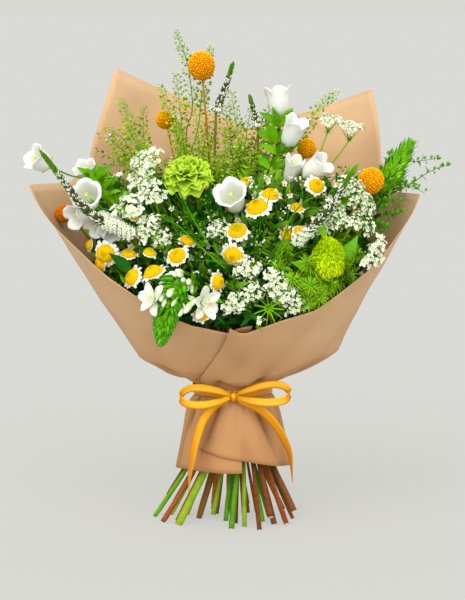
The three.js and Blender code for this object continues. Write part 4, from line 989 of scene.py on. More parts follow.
def on_ball(k, total, axis, side, back):
    """The way to one of many places spread evenly over a ball, and its height on the axis."""
    height = 1 - 2 * (k + 0.5) / total
    return axis * height + spun(side, back, k * GOLDEN) * math.sqrt(1 - height * height), height


BUNCH_MIDDLE = np.array([0, 20, 285])  # flowers face away from this point


def outward(point):
    return unit(np.asarray(point, float) - BUNCH_MIDDLE)


# %% [markdown]
# ## Craspedia
# Each yellow ball is a packed head of hundreds of tiny florets in a spiral. The florets are set on the ball
# by the golden angle, as the plant does it, and the ball is painted darker below, as its shade.

# %% The yellow balls
CRASPEDIA_HEADS = [  # centre, radius and florets
    ((-34, 20, 496), 14.6, 640), ((-75, 40, 436), 9.4, 400), ((-183, -20, 337), 9.0, 400),
    ((149, -40, 374), 13.6, 600), ((81, -5, 407), 9.8, 420),
]
for number, (centre, radius, florets) in enumerate(CRASPEDIA_HEADS, 1):
    head, draw = Growth(), draws(30 + number)
    centre = np.array(centre, float)
    axis = unit(centre - np.array(STEMS[f"craspedia_stem_{number}"][0]))
    side, back = square_to(axis, (0, 1, 0.1))
    core = lathe([(-1, 0)] + [(-math.cos(a), math.sin(a)) for a in np.linspace(0.3, 2.85, 9)] + [(1, 0)], 20)
    set_down(head, core, centre, axis, radius * 0.95, radius * 1.03, 0.0, 0.15)
    ripe = 0.25 if number == 3 else 1.0  # the low ball on the left is the oldest and darkest
    for k in range(florets):
        way, height = on_ball(k, florets, axis, side, back)
        way = unit(way + 0.035 * draw.normal(size=3))
        size = radius * 3.5 / math.sqrt(florets) * (1 + 0.12 * draw.random())
        at = centre + way * radius * 0.965 + axis * height * radius * 0.08
        # painted shade: florets lower on the ball are darker
        run = np.clip(ripe * (0.8 + 0.3 * height) * (0.5 + 0.6 * GRAIN[2]), 0, 1)
        lean = way + 0.22 * draw.normal(size=3)
        long = size * (1 + 0.5 * draw.random())
        set_down(head, GRAIN, at, lean, size, long, draw.random(), run)
    piece(f"craspedia_ball_{number}", head, CRASPEDIA, [f"craspedia_head_{number}"], "craspedia_head")

# %% [markdown]
# ## Campanula
# White bells with five flared lobes stand on thick green stems among bright toothed leaves. A bell is a
# turned form, so it is made ring by ring. The lobes open more toward the mouth, and the wall is thin.

# %% What has to stay clear of leaves
def inside(point, spare=7.0):
    """True where a point is clear of the paper: inside its wall, or above its rim."""
    azimuth = math.degrees(math.atan2(point[1], point[0])) % 360
    rims = [along(rim, turn) for rim, start, end in ((LEFT_RIM, 70, 280), (RIGHT_RIM, 269, 460))
            for turn in (azimuth, azimuth + 360) if start <= turn <= end]
    if point[2] > max(rims) + 5:
        return True
    measures = [around(k, azimuth) for k in (1, 2, 3)]
    return math.hypot(point[0], point[1]) + spare < wrap_radius(point[2], measures)


# the middle and the radius of each room that leaves stay out of
CLEAR = [(*centre, radius) for centre, radius, _ in CRASPEDIA_HEADS]
# the carnation, the green ball and the two open stars
CLEAR += [(-50, -83, 392, 27), (102, -98, 297, 20), (-84, -136, 257, 14), (-29, -136, 254, 14)]


def free(*points):
    """True where no point is inside a flower that keeps its room, or outside the paper."""
    room = np.array(CLEAR, float)
    gaps = np.linalg.norm(np.array(points)[:, None] - room[None, :, :3], axis=2)
    return bool((gaps > room[:, 3]).all()) and all(inside(point) for point in points)


# %% One bell
BELLS = [  # stem, base, mouth, width and how far it has opened
    ("left", (-196, -62, 392), (-214, -74, 404), 27, 0.5),
    ("left", (-152, -34, 372), (-160, -50, 392), 23, 0.5),
    ("left", (-150, -66, 352), (-156, -92, 366), 28, 0.9),
    ("left", (-150, -70, 346), (-172, -86, 337), 26, 0.6),
    ("left", (-134, -70, 340), (-148, -88, 326), 25, 0.6),
    ("left", (-123, -68, 336), (-131, -92, 322), 24, 0.5),
    ("centre", (5, -76, 348), (-4, -102, 369), 29, 0.9),
    ("right", (52, 5, 441), (49, 10, 474), 28, 0.35),
    ("right", (59, -27, 412), (71, -38, 441), 26, 0.45),
    ("right", (77, -50, 380), (100, -62, 397), 26, 0.45),
    ("right", (60, -42, 374), (68, -56, 400), 20, 0.3),
]
LOBES = 5
for _, base, mouth, width, _ in BELLS:
    base, mouth = np.array(base, float), np.array(mouth, float)
    CLEAR += [(*(base + (mouth - base) * share), width * room) for share, room in
              ((0.3, 0.55), (0.7, 0.6), (1.1, 0.65), (1.5, 0.55))]


def bell(length, width, opened):
    """A bell along +Z, as a grid of rings from its base to the tips of its lobes."""
    sides, rings = 60, 16
    t = np.linspace(0, 1, rings)[:, None]
    angle = np.arange(sides)[None, :] * 2 * math.pi / sides
    wave = np.cos(LOBES * angle)
    tip = np.abs(np.cos(LOBES * angle / 2)) ** 0.8  # 1 in the middle of a lobe, 0 between two
    radius = width * np.interp(t, (0, 0.06, 0.16, 0.35, 0.6, 0.78, 0.9, 1),
                               (0.1, 0.22, 0.31, 0.37, 0.41, 0.44, 0.48, 0.46 + 0.16 * opened))
    free = np.clip((t - 0.62) / 0.38, 0, 1)
    radius = radius * (1 + 0.03 * wave * (1 - free)) + width * 0.05 * opened * free * (tip - 0.5)
    height = length * (t - 0.2 * free * (1 - tip)) - width * 0.08 * opened**2 * free**3 * tip
    height = height + 0.5 * free * np.sin(9 * angle + 3)
    points = np.stack([radius * np.cos(angle), radius * np.sin(angle), height + 0 * angle], -1)
    run = np.repeat(t[:, 0], sides)
    return points.reshape(-1, 3), [ring_faces(rings, sides)], run


# %% The bells, their sepals and their stigmas
CAMPANULA_LEAVES = {"left": (22, 36), "centre": (5, 27), "right": (30, 38)}
petals = {k: Growth() for k in range(len(BELLS))}
sepals, stigmas, foliage = Growth(), Growth(), Growth()
for index, (side, base, mouth, width, opened) in enumerate(BELLS):
    stem, draw = whole_stem(f"campanula_stem_{side}"), draws(60 + index)
    base, facing = np.array(base, float), np.subtract(mouth, base).astype(float)
    length, way = float(np.linalg.norm(facing)), unit(facing)
    form = bell(length * 1.04, width * 1.02, opened)
    set_down(petals[index], form, base - way * 1.5, way, 1, spin=index * 0.9)
    places = [on_line(stem, share) for share in np.linspace(0.7, 1, 16)]
    low = [p for p in places if p[2] <= base[2] - 8] or places
    joint = min(low, key=lambda p: np.linalg.norm(p - base))
    stalk(sepals, joint, base - way * 3, (1.3, 1.0, 1.2), 6, draw.random())
    set_down(sepals, BEAD, base - way * 4.6, way, 7.4, 8, draw.random())
    for k in range(LOBES):
        spin = (k + 0.5) * 2 * math.pi / LOBES + index
        root = base - way * 1.5 + turned(way, spin, math.pi / 2) * 2.6
        shape = sheet(length * 0.42, 3.4, LANCE, 5, 2, 0.6 * opened - 0.3, 0.3)
        leaf(sepals, shape, root, turned(way, spin, 1.05), way, draw.random())
    top = base + way * length * 0.72
    tube(stigmas, [base, base + way * length * 0.4, top], (1.0, 0.8, 1.0), 6, 3, 0.4)
    for k in range(3):
        curl = turned(way, k * 2.1 + index, 0.9)
        tube(stigmas, [top, top + curl * 2 + way, top + curl * 3.4 - way * 0.4], (0.9, 0.8, 0.3), 5, 3, 0.7)
for side, (count, size) in CAMPANULA_LEAVES.items():
    stem, draw = whole_stem(f"campanula_stem_{side}"), draws(count * 3)
    for k in range(count):
        root = on_line(stem, 0.66 + 0.34 * (k + 0.5) / count)
        run = np.array([math.cos(k * GOLDEN), math.sin(k * GOLDEN) - 0.5, 0.55 + 0.3 * draw.random()])
        long = size * (1.05 - 0.35 * k / count) * (0.8 + 0.4 * draw.random())
        bend = 0.5 + 0.7 * draw.random()
        shape = sheet(long, long * 0.34, LANCE, 10, 4, bend, 0.35, 0.7, 2, draw.random() * 6)
        if free(root + unit(run) * long * 0.6, root + unit(run) * long):
            leaf(foliage, shape, root, run, outward(root) + (0, 0, 0.8), draw.random())
    crown, shape = stem[-1], sheet(size * 0.5, size * 0.14, LANCE, 6, 2, 0.4, 0.3)
    for k in range(5):  # young leaves at the top
        run = turned(unit(stem[-1] - stem[-2]), k * GOLDEN, 0.3 + 0.12 * k)
        if free(crown + run * size * 0.5):
            leaf(foliage, shape, crown, run, outward(crown), draw.random())
WHOLE_TIERS = 3  # these keep all their leaves, however near a bell
TIERS = [  # roots of the whorls of broad leaves
    (50, -10, 430), (46, -12, 413), (50, -14, 400), (43, -16, 384), (42, -24, 366), (34, -32, 352),
    (-146, -60, 376), (-140, -58, 364), (-128, -58, 350),
]
draw = draws(61)
for index, root in enumerate(TIERS):
    for k in range(7):
        angle = k * 0.9 + index
        run = unit((math.cos(angle), 0.4 * math.sin(angle) - 0.35, 0.55 + 0.5 * draw.random()))
        long = 19 + 9 * draw.random()
        bend = 0.1 + 0.6 * draw.random()
        shape = sheet(long, long * 0.3, LANCE, 9, 4, bend, 0.5, 0.5, 2, draw.random() * 6)
        if index < WHOLE_TIERS or free(root + run * long * 0.5, root + run * long):
            leaf(foliage, shape, root, run, (0, -1, 0.7), draw.random())
for index, growth in petals.items():
    piece(f"bell_{index + 1}", growth, BELL, [f"campanula_bell_{index + 1}"], "bell_petal", 0.5)
campanulas = [f"campanula_stem_{side}" for side in CAMPANULA_LEAVES]
piece("bell_sepals", sepals, GREEN_STEM, campanulas, "green_stem")
piece("bell_stigmas", stigmas, STIGMA, [f"campanula_bell_{k + 1}" for k in range(len(BELLS))], "bell_petal")
piece("campanula_leaves", foliage, BRIGHT_LEAF, campanulas, "green_stem")

# %% [markdown]
# ## Feverfew
# Small daisies: a domed button of yellow florets, a single ring of short square-tipped white rays and a
# green cup behind. Each stands on its own stalk, and all the stalks of a spray meet in one stem.

# %% Daisies
DAISIES = {  # centre, radius over the rays, and 1 where the middle is still green
    "feverfew_spray_centre": [(26, -100, 350, 15, 0), (40, -84, 362, 12, 0), (5, -105, 326, 13, 1),
                              (1, -111, 301, 13, 0), (68, -80, 348, 9, 0), (58, -86, 321, 9, 0),
                              (-16, -114, 273, 11, 0), (72, -95, 324, 10, 0), (14, -62, 374, 9, 0)],
    "feverfew_spray_right": [(89, -71, 371, 11, 0), (113, -58, 368, 8, 0)],
    "feverfew_spray_left": [(-134, -95, 301, 13, 0), (-139, -87, 290, 11, 0), (-110, -92, 300, 10, 1),
                            (-152, -74, 308, 7, 0), (-106, -76, 338, 8, 0), (-126, -75, 337, 8, 0)],
    "feverfew_spray_front": [(-83, -112, 282, 14, 0), (-105, -106, 277, 12, 0), (-58, -109, 300, 12, 0),
                             (-48, -92, 314, 10, 0), (-88, -97, 302, 9, 1), (-33, -110, 238, 10, 0)],
}
RAY_OUTLINE = (0.6, 0.9, 1, 1, 0.95, 0.6)
discs, eyes, rays, cups = Growth(), Growth(), Growth(), Growth()
for name, flowers in DAISIES.items():
    for index, (x, y, z, radius, unripe) in enumerate(flowers):
        draw = draws(int(x * x + z))
        at = np.array([x, y, z], float)
        root = branch_root(name, index, 6)
        way = unit(at - root + 0.42 * np.linalg.norm(at - root) * draw.normal(size=3))
        if way[1] > -0.25:
            way = unit(way + (0, -0.4, 0))
        radius *= 1.12
        disc = radius * 0.7
        side, back = square_to(way, (0.1, 0.2, 1))
        dome = lathe([(-0.3, 0), (0, 0.95), (0.4, 0.8), (0.62, 0.4), (0.68, 0)], 16)
        set_down(discs, dome, at, way, disc, tone=0.2, run=0.3)
        florets = int(20 * disc**0.9)
        for k in range(florets):
            share = math.sqrt((k + 0.5) / florets)
            lift = 0.7 * (1 - share**2.4)
            out = spun(side, back, k * GOLDEN)
            target = eyes if share < (0.6 if unripe else 0.3) else discs
            spot = at + (out * share * 0.98 + way * lift) * disc
            size = disc * 2.3 / math.sqrt(florets) * (0.7 if share < 0.3 else 1)
            lean = way + out * share * 0.9
            set_down(target, GRAIN, spot, lean, size, tone=draw.random(), run=0.4 + 0.6 * share)
        total = int(13 + radius * 0.4)
        for k in range(total):
            out = spun(side, back, (k + 0.3 * draw.random()) * 2 * math.pi / total)
            length = (radius - disc) * 1.25 * (0.55 + 0.9 * draw.random())
            width, bend = 2 * math.pi * disc / total * 1.2, 0.1 + 1.1 * draw.random()
            shape = sheet(length, width, RAY_OUTLINE, 5, 2, bend, 0.18)
            run = out + way * (0.35 * draw.random() - 0.1)
            leaf(rays, shape, at + out * disc * 0.8 - way * 0.4, run, way, draw.random())
        cup = lathe([(-0.75, 0), (-0.7, 0.2), (-0.45, 0.62), (-0.12, 0.92), (0, 0.6), (0, 0)], 14)
        set_down(cups, cup, at - way * 0.6, way, disc, tone=draw.random())
        joint = at - way * disc * 0.7
        middle = (root + joint) / 2 - (0, 0, 0.06 * np.linalg.norm(joint - root)) - way * 3
        tube(cups, [root, middle, joint - way * 5, joint], (1.1, 0.9, 0.8, 1.0), 6, 4, draw.random())
        spins = (0.4, 2.4, 4.1) if radius >= 9 else ()
        for spin in spins:  # leaves on the stalks of the larger flowers
            run = turned(unit(joint - root), spin, 0.9)
            if free(middle + run * 11):
                leaf(cups, sheet(11, 3.4, LANCE, 6, 2, 0.8, 0.2), middle, run, way, draw.random())
pieces(list(DAISIES), "feverfew", ("daisy_discs", discs, DISC), ("daisy_eyes", eyes, DISC_EYE),
       ("daisy_rays", rays, RAY, 0.25), ("daisy_stalks", cups, GREEN_STEM))

# %% [markdown]
# ## The lime carnation
# A carnation is a packed pompom of wedge petals with pinked, ruffled edges. The petals are set from the
# heart outward by the golden angle, each one more open than the last.

# %% Carnation and its calyx
CARNATION_CENTRE = np.array([-50, -81, 392.0])
CARNATION_PETALS = 28
carnation, calyx = Growth(), Growth()
draw = draws(71)
neck = np.array(STEMS["carnation_stem"][0], float)
facing = unit((CARNATION_CENTRE - neck) * 0.55 + outward(CARNATION_CENTRE) * 24 * 0.45)
for k in range(CARNATION_PETALS):
    share = (k + 0.5) / CARNATION_PETALS
    length = 18.5 + 9.5 * share
    shape = sheet(length, length * 1.25, WEDGE, 9, 12, 0.1 + 0.9 * share, 0.2, 3.4, 1.7, draw.random() * 6)
    shape[0][-13:, 0] += 0.8 * np.tile([-1, 1], 7)[:13]  # the pinked edge
    root = CARNATION_CENTRE - facing * (15 - 3 * (1 - share))
    run = turned(facing, k * GOLDEN, 0.1 + 1.25 * share**0.75)
    leaf(carnation, shape, root, run, facing, draw.random())
bottom, top = CARNATION_CENTRE - facing * 18, CARNATION_CENTRE - facing * 9
tube(calyx, [neck, bottom, top], (3.2, 4.6, 6.4), 10, 5, 0.6)
for k in range(5):
    run = turned(facing, k * 1.26, 0.6)
    leaf(calyx, sheet(9, 5, LANCE, 4, 2, 0.4), CARNATION_CENTRE - facing * 10 + run * 3, run, facing, 0.5)
piece("carnation_petals", carnation, CARNATION, ["carnation_head"], "lime_petal", 0.25)
piece("carnation_calyx", calyx, GREEN_STEM, ["carnation_stem", "carnation_head"], "green_stem")

# %% [markdown]
# ## Green trick
# A moss-like ball with no petals at all: over two thousand pointed bracts stand out of one head.

# %% Green trick and the leaf behind it
TRICK_CENTRE = np.array([102, -98, 297.0])
TRICK_FORM = np.array([0.92, 0.92, 1.2])  # a little taller than it is wide
BRACTS = 2600
trick, draw = Growth(), draws(72)
right, back, up = np.eye(3)
core = lathe([(-1.15, 0), (-0.7, 0.7), (0, 0.95), (0.8, 0.6), (1.15, 0)], 14)
set_down(trick, core, TRICK_CENTRE, (0, 0, 1), 15, run=0.3)
bract = sheet(5.6, 1.6, LANCE, 3, 2, 0.5, 0.5)
for k in range(BRACTS):
    way, _ = on_ball(k, BRACTS, up, right, back)
    reach = 13.2 + 2.6 * draw.random() + 1.4 * math.sin(5 * way[0] + 3 * way[2])
    leaf(trick, bract, TRICK_CENTRE + way * reach * TRICK_FORM, way + 0.5 * draw.normal(size=3), (0, 0, 1),
         draw.random())
piece("green_trick_ball", trick, TRICK, ["green_trick"], "green_bract")
behind = Growth()
for root, run, long in (((112, -84, 280), (0.5, -0.2, 1), 46), ((88, -88, 284), (-0.9, -0.5, 0.35), 30),
                        ((98, -90, 318), (-0.3, -0.3, 0.9), 22), ((90, -92, 276), (-0.6, -0.4, -0.2), 22)):
    leaf(behind, sheet(long, long * 0.42, OVAL, 10, 6, 0.5, 0.25, 0.8, 3), root, run, (0, -1, 0.3), 0.7)
piece("green_trick_leaves", behind, BRIGHT_LEAF, ["green_trick"], "green_bract")

# %% [markdown]
# ## Star of Bethlehem
# A cone of overlapping green buds hangs out of the front, and two flowers at the root of the cone are
# open: six white petals round a pale heart. Another cone stands up at the right.

# %% Cones of buds
PETAL = (0.34, 0.66, 0.9, 1, 0.94, 0.72, 0.22)
CONES = {  # points from the root to the tip, radius at the root, buds
    "ornithogalum_front": ([(-50, -114, 276), (-60, -126, 268), (-67, -132, 250), (-71, -132, 232),
                            (-74, -129, 214)], 24, 150),
    "ornithogalum_right": ([(158, -16, 358), (170, -12, 374), (181, -8, 392), (192, -5, 410)], 13, 90),
}
buds, white_buds = Growth(), Growth()
for name, (points, radius, count) in CONES.items():
    line = smooth(points, 20)
    frames, draw = frames_along(line), draws(count)
    right = name == "ornithogalum_right"
    for k in range(count):
        share = min(((k + 0.5) / count) ** 0.82 + 0.012 * draw.normal(), 0.99)
        share = max(share, 0)
        spot, run, out = place(line, frames, share, k * GOLDEN + 0.16 * draw.normal())
        size = radius * (1 - share**4) ** 0.8
        lean = 0.75 - 0.45 * share
        bud = (6.2 + 4.4 * (1 - share)) * (0.85 + 0.3 * draw.random())
        ready = not right and share < 0.16  # these are about to open, so they are white
        at, way = spot + out * size * 0.34, out * lean + run * (1.2 - lean * 0.4)
        set_down(white_buds if ready else buds, BEAD, at, way, bud * 0.62, bud * 1.5, draw.random(),
                 0.3 if right else None, draw.random() * 6)
        if not ready:  # a pointed bract under the bud
            shape = sheet(bud * (2.2 if right else 1.5), bud * 0.5, LANCE, 4, 2, 0.5 * right, 0.4)
            leaf(buds, shape, at - run, way + out * 0.5, out, draw.random())
for root, run, long in (((-68, -128, 268), (1, -0.5, 0.2), 24), ((-48, -120, 270), (-1, -0.5, 0.35), 20),
                        ((-60, -126, 262), (0.9, -0.5, -0.4), 20)):
    leaf(buds, sheet(long, long * 0.5, OVAL, 8, 4, 0.5, 0.35), root, run, (0, -0.7, 1), 0.8)
piece("star_cones", buds, CONE_BUD, list(CONES), "green_bud")

# %% Open stars and the white buds round them
STARS = [  # centre, facing and radius
    ((-80, -140, 257), (-0.74, -0.6, 0.3), 20), ((-33, -139, 254), (0.72, -0.66, 0.05), 21),
]
stars, stamens = Growth(), Growth()
for index, (centre, facing, radius) in enumerate(STARS):
    draw, centre, facing = draws(80 + index), np.array(centre, float), unit(facing)
    for k in range(6):
        spin = k * math.pi / 3 + index + 0.15 * draw.normal()
        tilt = 1.02 + 0.22 * (k % 2) + 0.1 * draw.normal()
        run = turned(facing, spin, tilt)
        long, bend = radius * (0.85 + 0.2 * draw.random()), 0.9 * draw.random() - 0.5
        shape = sheet(long, radius * 0.62, PETAL, 8, 6, bend, 0.5, 0.8, 2, draw.random() * 6)
        leaf(stars, shape, centre + run * 1.6 - facing * (k % 2) * 0.6, run, facing, draw.random())
        stamen_tip = centre + turned(facing, spin + 0.5, 0.42) * radius * 0.46
        tube(stars, [centre, stamen_tip], (0.7, 0.4), 5, 2, 0.5)
        set_down(stamens, BEAD, stamen_tip, facing, 1.5, 2.2, draw.random())
    set_down(white_buds, BEAD, centre, facing, 4.6, 6, draw.random(), run=0.25)
    stalk(white_buds, (-56, -120, 268), centre - facing * 1.5, (1.3, 1.0, 1.3), 6, draw.random())
WHITE_BUDS = [  # tip, width and length of each closed bud at the cone's shoulder
    (-65, -146, 265, 8.5, 10.5), (-79, -140, 250, 6.5, 15), (-46, -146, 250, 7.5, 18),
    (-53, -146, 245, 5.5, 13), (-71, -146, 255, 5.5, 12), (-61, -146, 255, 5, 10),
    (-41, -140, 255, 6, 14), (-74, -146, 260, 6, 12),
]
draw = draws(88)
for x, y, z, width, long in WHITE_BUDS:
    way = unit(outward((x, y, z)) * (1.4, 1, 0) + (0, 0, -0.8) + 0.2 * draw.normal(size=3))
    start = np.array([x, y, z], float) - way * long * 0.6
    stalk(white_buds, (-56, -119, 267), start, 1.1, 5, draw.random())
    set_down(white_buds, BEAD, start, way, width, long * 1.15, draw.random())
star_nodes = ["ornithogalum_star_left", "ornithogalum_star_right"]
pieces(star_nodes, "star_petal", ("open_stars", stars, STAR, 0.35), ("star_stamens", stamens, STAMEN))
piece("star_buds", white_buds, WHITE_BUD, ["ornithogalum_front", *star_nodes], "green_bud")

# %% [markdown]
# ## Veronica
# Long tapering spikes. The florets open from the root upward, so the root shows small white flowers,
# the middle is beaded with dark and pale buds, and the tip is tight and green.

# %% Spikes of buds
VERONICA = {  # points of the spike, radius at its root and buds
    "veronica_left": ([(-104, -98, 320), (-120, -104, 329), (-136, -107, 336), (-156, -107, 351),
                       (-172, -105, 371), (-187, -101, 391), (-203, -96, 411)], 5.4, 900),
    "veronica_top": ([(-18, 0, 446), (-16, 1, 452), (-7, 5, 475), (1, 10, 501)], 4.8, 420),
    "veronica_small": ([(28, -12, 430), (26, -11, 438), (18, -8, 466)], 4.4, 260),
    "veronica_right": ([(66, -96, 312), (72, -100, 318), (88, -103, 334), (105, -101, 352),
                        (117, -97, 372), (126, -93, 389)], 4.8, 560),
}
dark_buds, tip_buds, open_florets = Growth(), Growth(), Growth()
for name, (points, radius, count) in VERONICA.items():
    line = smooth(points, 24)
    frames, draw = frames_along(line), draws(count)
    tube(tip_buds, points, (radius * 0.36, radius * 0.3, 0.4), 6, 8, 0.4)
    opened = 0.30 if name in ("veronica_left", "veronica_right") else 0.06
    for k in range(count):
        share = ((k + 0.5) / count) ** 0.9
        spot, run, out = place(line, frames, share, k * GOLDEN)
        reach = radius * (1 - 0.45 * share**1.6) * min(1, 14 * (1.01 - share)) * (0.9 + 0.2 * draw.random())
        size = (0.75 + 1.0 * (1 - share)) * (0.85 + 0.3 * draw.random())
        at, way = spot + out * reach * 0.35, out + run * (0.5 + share)
        target = tip_buds if share > 0.78 else dark_buds
        if draw.random() < (0.85 if share < opened else 0.34 if share < 0.8 else 0):
            target = open_florets
        set_down(target, BEAD, at, way, size * 1.25, reach * 0.72 + size, draw.random(), spin=k)
        if share < opened and k % 2 == 0:  # four tiny petals and a long stamen
            mouth = at + unit(way) * reach
            angles = [j * 1.57 + k for j in range(4)]
            whorl(open_florets, sheet(3.0, 2.0, OVAL, 2, 2, 0.3), angles, 1.0, mouth, way, draw)
            tube(open_florets, [mouth, mouth + turned(way, k, 0.3) * 3.6], (0.2, 0.16), 3, 1, 0.5)
pieces(list(VERONICA), "veronica_spike", ("veronica_dark_buds", dark_buds, VERONICA_DARK),
       ("veronica_tips", tip_buds, VERONICA_TIP), ("veronica_florets", open_florets, WHITE_FLORET))

# %% [markdown]
# ## White lace flower
# An umbel is an umbrella of umbrellas: fine rays leave one point, and each ends in a smaller fan of tiny
# five-petalled florets. The outermost petals are the largest. Green hearts show between them.

# %% Umbels
LACE = {  # centre, radius, umbellets, size of the florets and how much larger the outer petals are
    "lace_left": [(-93, -62, 397, 20, 10, 2.4, 2.0), (-98, -70, 376, 14, 6, 2.2, 2.6),
                  (-88, -80, 364, 16, 6, 2.4, 3.4), (-114, -84, 350, 15, 5, 2.4, 3.8),
                  (-92, -94, 328, 16, 8, 2.2, 1.6), (-76, -90, 318, 11, 5, 2.0, 1.4)],
    "lace_right": [(128, -72, 366, 23, 15, 1.9, 0.8), (110, -86, 342, 20, 11, 1.9, 1.6),
                   (138, -74, 334, 19, 10, 1.9, 1.2), (96, -86, 330, 12, 6, 2.0, 1.8),
                   (144, -66, 352, 14, 8, 1.8, 0.8)],
    "lace_edge": [(148, -92, 298, 13, 5, 2.4, 2.0), (156, -88, 312, 10, 4, 2.2, 1.6)],
    "lace_low": [(46, -117, 272, 15, 7, 2.3, 1.8), (14, -112, 288, 14, 6, 2.4, 2.0),
                 (1, -119, 250, 12, 5, 2.3, 1.6), (29, -125, 225, 10, 4, 2.3, 1.4),
                 (68, -114, 246, 12, 5, 2.2, 1.2), (20, -116, 262, 12, 5, 2.2, 1.4),
                 (-14, -100, 328, 12, 5, 2.1, 1.2), (62, -116, 258, 10, 4, 2.2, 1.6)],
    "lace_top": [(106, 2, 438, 14, 8, 2.1, 0.8), (130, 4, 430, 15, 9, 2.1, 0.8)],
    "lace_back": [(-58, 92, 384, 26, 12, 1.9, 0.8), (8, 112, 392, 26, 12, 1.9, 0.8),
                  (70, 96, 372, 26, 12, 1.9, 0.8)],
}
lace, hearts, rays = Growth(), Growth(), Growth()
for name, heads in LACE.items():
    for index, (x, y, z, radius, umbellets, floret, larger) in enumerate(heads):
        draw, centre = draws(int(abs(x) * 7 + z)), np.array([x, y, z], float)
        facing = unit((0.15, -0.35, 1)) if name == "lace_top" else unit(outward(centre) + (0, -0.1, 0.25))
        side, back = square_to(facing, (0.3, 0.1, 1))
        hub = centre - facing * radius * (1.1 if name == "lace_top" else 0.8)
        root = branch_root(name, index, 6)
        stalk(rays, root, hub, (1.1, 0.9, 1.0), 6, draw.random())
        for k in range(umbellets):
            share = math.sqrt((k + 0.5) / umbellets)
            out = spun(side, back, k * GOLDEN)
            middle = centre + (out * share + facing * 0.22 * (1 - share**2)) * radius * 0.86
            middle = middle + draw.normal(size=3) * radius * 0.04
            small = unit(middle - hub)
            heart = middle - small * radius * 0.16
            arched = [hub, (hub + heart) / 2 + out * radius * 0.07, heart]
            tube(rays, arched, (0.5, 0.34, 0.34), 4, 3, draw.random())
            reach = radius * 1.05 / math.sqrt(umbellets)
            total = int(7 + 3 * draw.random())
            for j in range(total):
                part = math.sqrt((j + 0.5) / total)
                aside = turned(small, j * GOLDEN, math.pi / 2) * part
                way = unit(small + aside * 0.9)
                spot = middle + aside * reach + way * 0.6 * draw.random()
                if not free(spot):
                    continue
                tube(rays, [heart, spot], (0.2, 0.22), 3, 1, draw.random())
                face = unit(way + 0.3 * draw.normal(size=3))
                for petal in range(5):
                    run = turned(face, petal * FIFTH + j, 1.15)
                    outer = 1 + larger * max(0, float(run @ out)) * share**2 * (part > 0.6)
                    size = floret * outer * (0.85 + 0.3 * draw.random())
                    shape = sheet(size, size * 0.85, SPOON, 2, 2, 0.3, 0.3)
                    leaf(lace, shape, spot, run, face, draw.random())
                set_down(hearts, GRAIN, spot + face * 0.1, face, floret * 0.75, tone=draw.random())
        ruff = sheet(radius * 0.4, 1.1, LANCE, 3, 2, 0.4)  # the bracts under the umbel
        whorl(rays, ruff, [k * 0.785 for k in range(8)], 1.3, hub, facing, draw)
pieces(list(LACE), "lace_floret", ("lace_petals", lace, WHITE_FLORET),
       ("lace_hearts", hearts, LACE_HEART), ("lace_rays", rays, FINE_LEAF))

# %% [markdown]
# ## Thlaspi
# Penny-cress gives the airy yellow-green froth at the top: thin racemes, each with dozens of small
# round pods on hair-thin stalks that get shorter toward the tip.

# %% Racemes of pods
RACEMES = {
    "thlaspi_left": [
        [(-44, 26, 452), (-50, 28, 500), (-63, 30, 534)], [(-34, 32, 462), (-28, 38, 495), (-24, 40, 519)],
        [(-58, 30, 450), (-62, 34, 488)], [(-70, 26, 444), (-80, 28, 476)],
        [(-48, 0, 400), (-64, -6, 436)], [(-36, -4, 404), (-40, -8, 446)],
        [(-22, 8, 412), (-16, 10, 452)], [(-54, 10, 410), (-62, 8, 444)],
        [(-30, 20, 420), (-30, 24, 470)], [(-58, 4, 396), (-62, 0, 428)],
    ],
    "thlaspi_far_left": [
        [(-108, 28, 420), (-116, 32, 440), (-124, 36, 460)], [(-120, 6, 404), (-136, -4, 420)],
        [(-104, 4, 408), (-116, -4, 434)], [(-98, 30, 418), (-98, 34, 452)],
        [(-112, -6, 392), (-132, -18, 402)], [(-92, 0, 392), (-96, -20, 418)],
        [(-118, 30, 412), (-142, 40, 428)],
    ],
    "thlaspi_centre": [
        [(4, 4, 436), (-2, 0, 470)], [(76, 10, 424), (96, 14, 452), (118, 20, 468)],
        [(-4, 50, 420), (-8, 66, 452)], [(14, 0, 412), (20, -8, 452)], [(26, 4, 416), (36, -2, 448)],
        [(0, -10, 400), (-10, -24, 430)], [(8, -16, 396), (10, -34, 424)], [(70, 12, 410), (84, 8, 441)],
        [(30, 16, 420), (44, 30, 456)], [(20, -14, 388), (30, -34, 412)],
    ],
}
PODDED = 10  # the first racemes of each stem carry more pods and fewer leaves than the others
FROTH, FROTH_RACEMES = draws(99), 54
for k in range(FROTH_RACEMES):  # shorter racemes that make the froth between the tall ones
    x, y, z = FROTH.random(3) * (180, 70, 60) + (-118, -48, 360)
    z -= 0.0012 * x * x
    name = "thlaspi_far_left" if x < -80 else "thlaspi_left" if x < -20 else "thlaspi_centre"
    RACEMES[name].append([(x * 0.86, y + 8, z - 34), (x, y, z)])
pods, twigs, seeds = Growth(), Growth(), Growth()
DISC_POD = lathe([(0, 0), (0.12, 0.43), (0.24, 0.43), (0.36, 0)], 6)
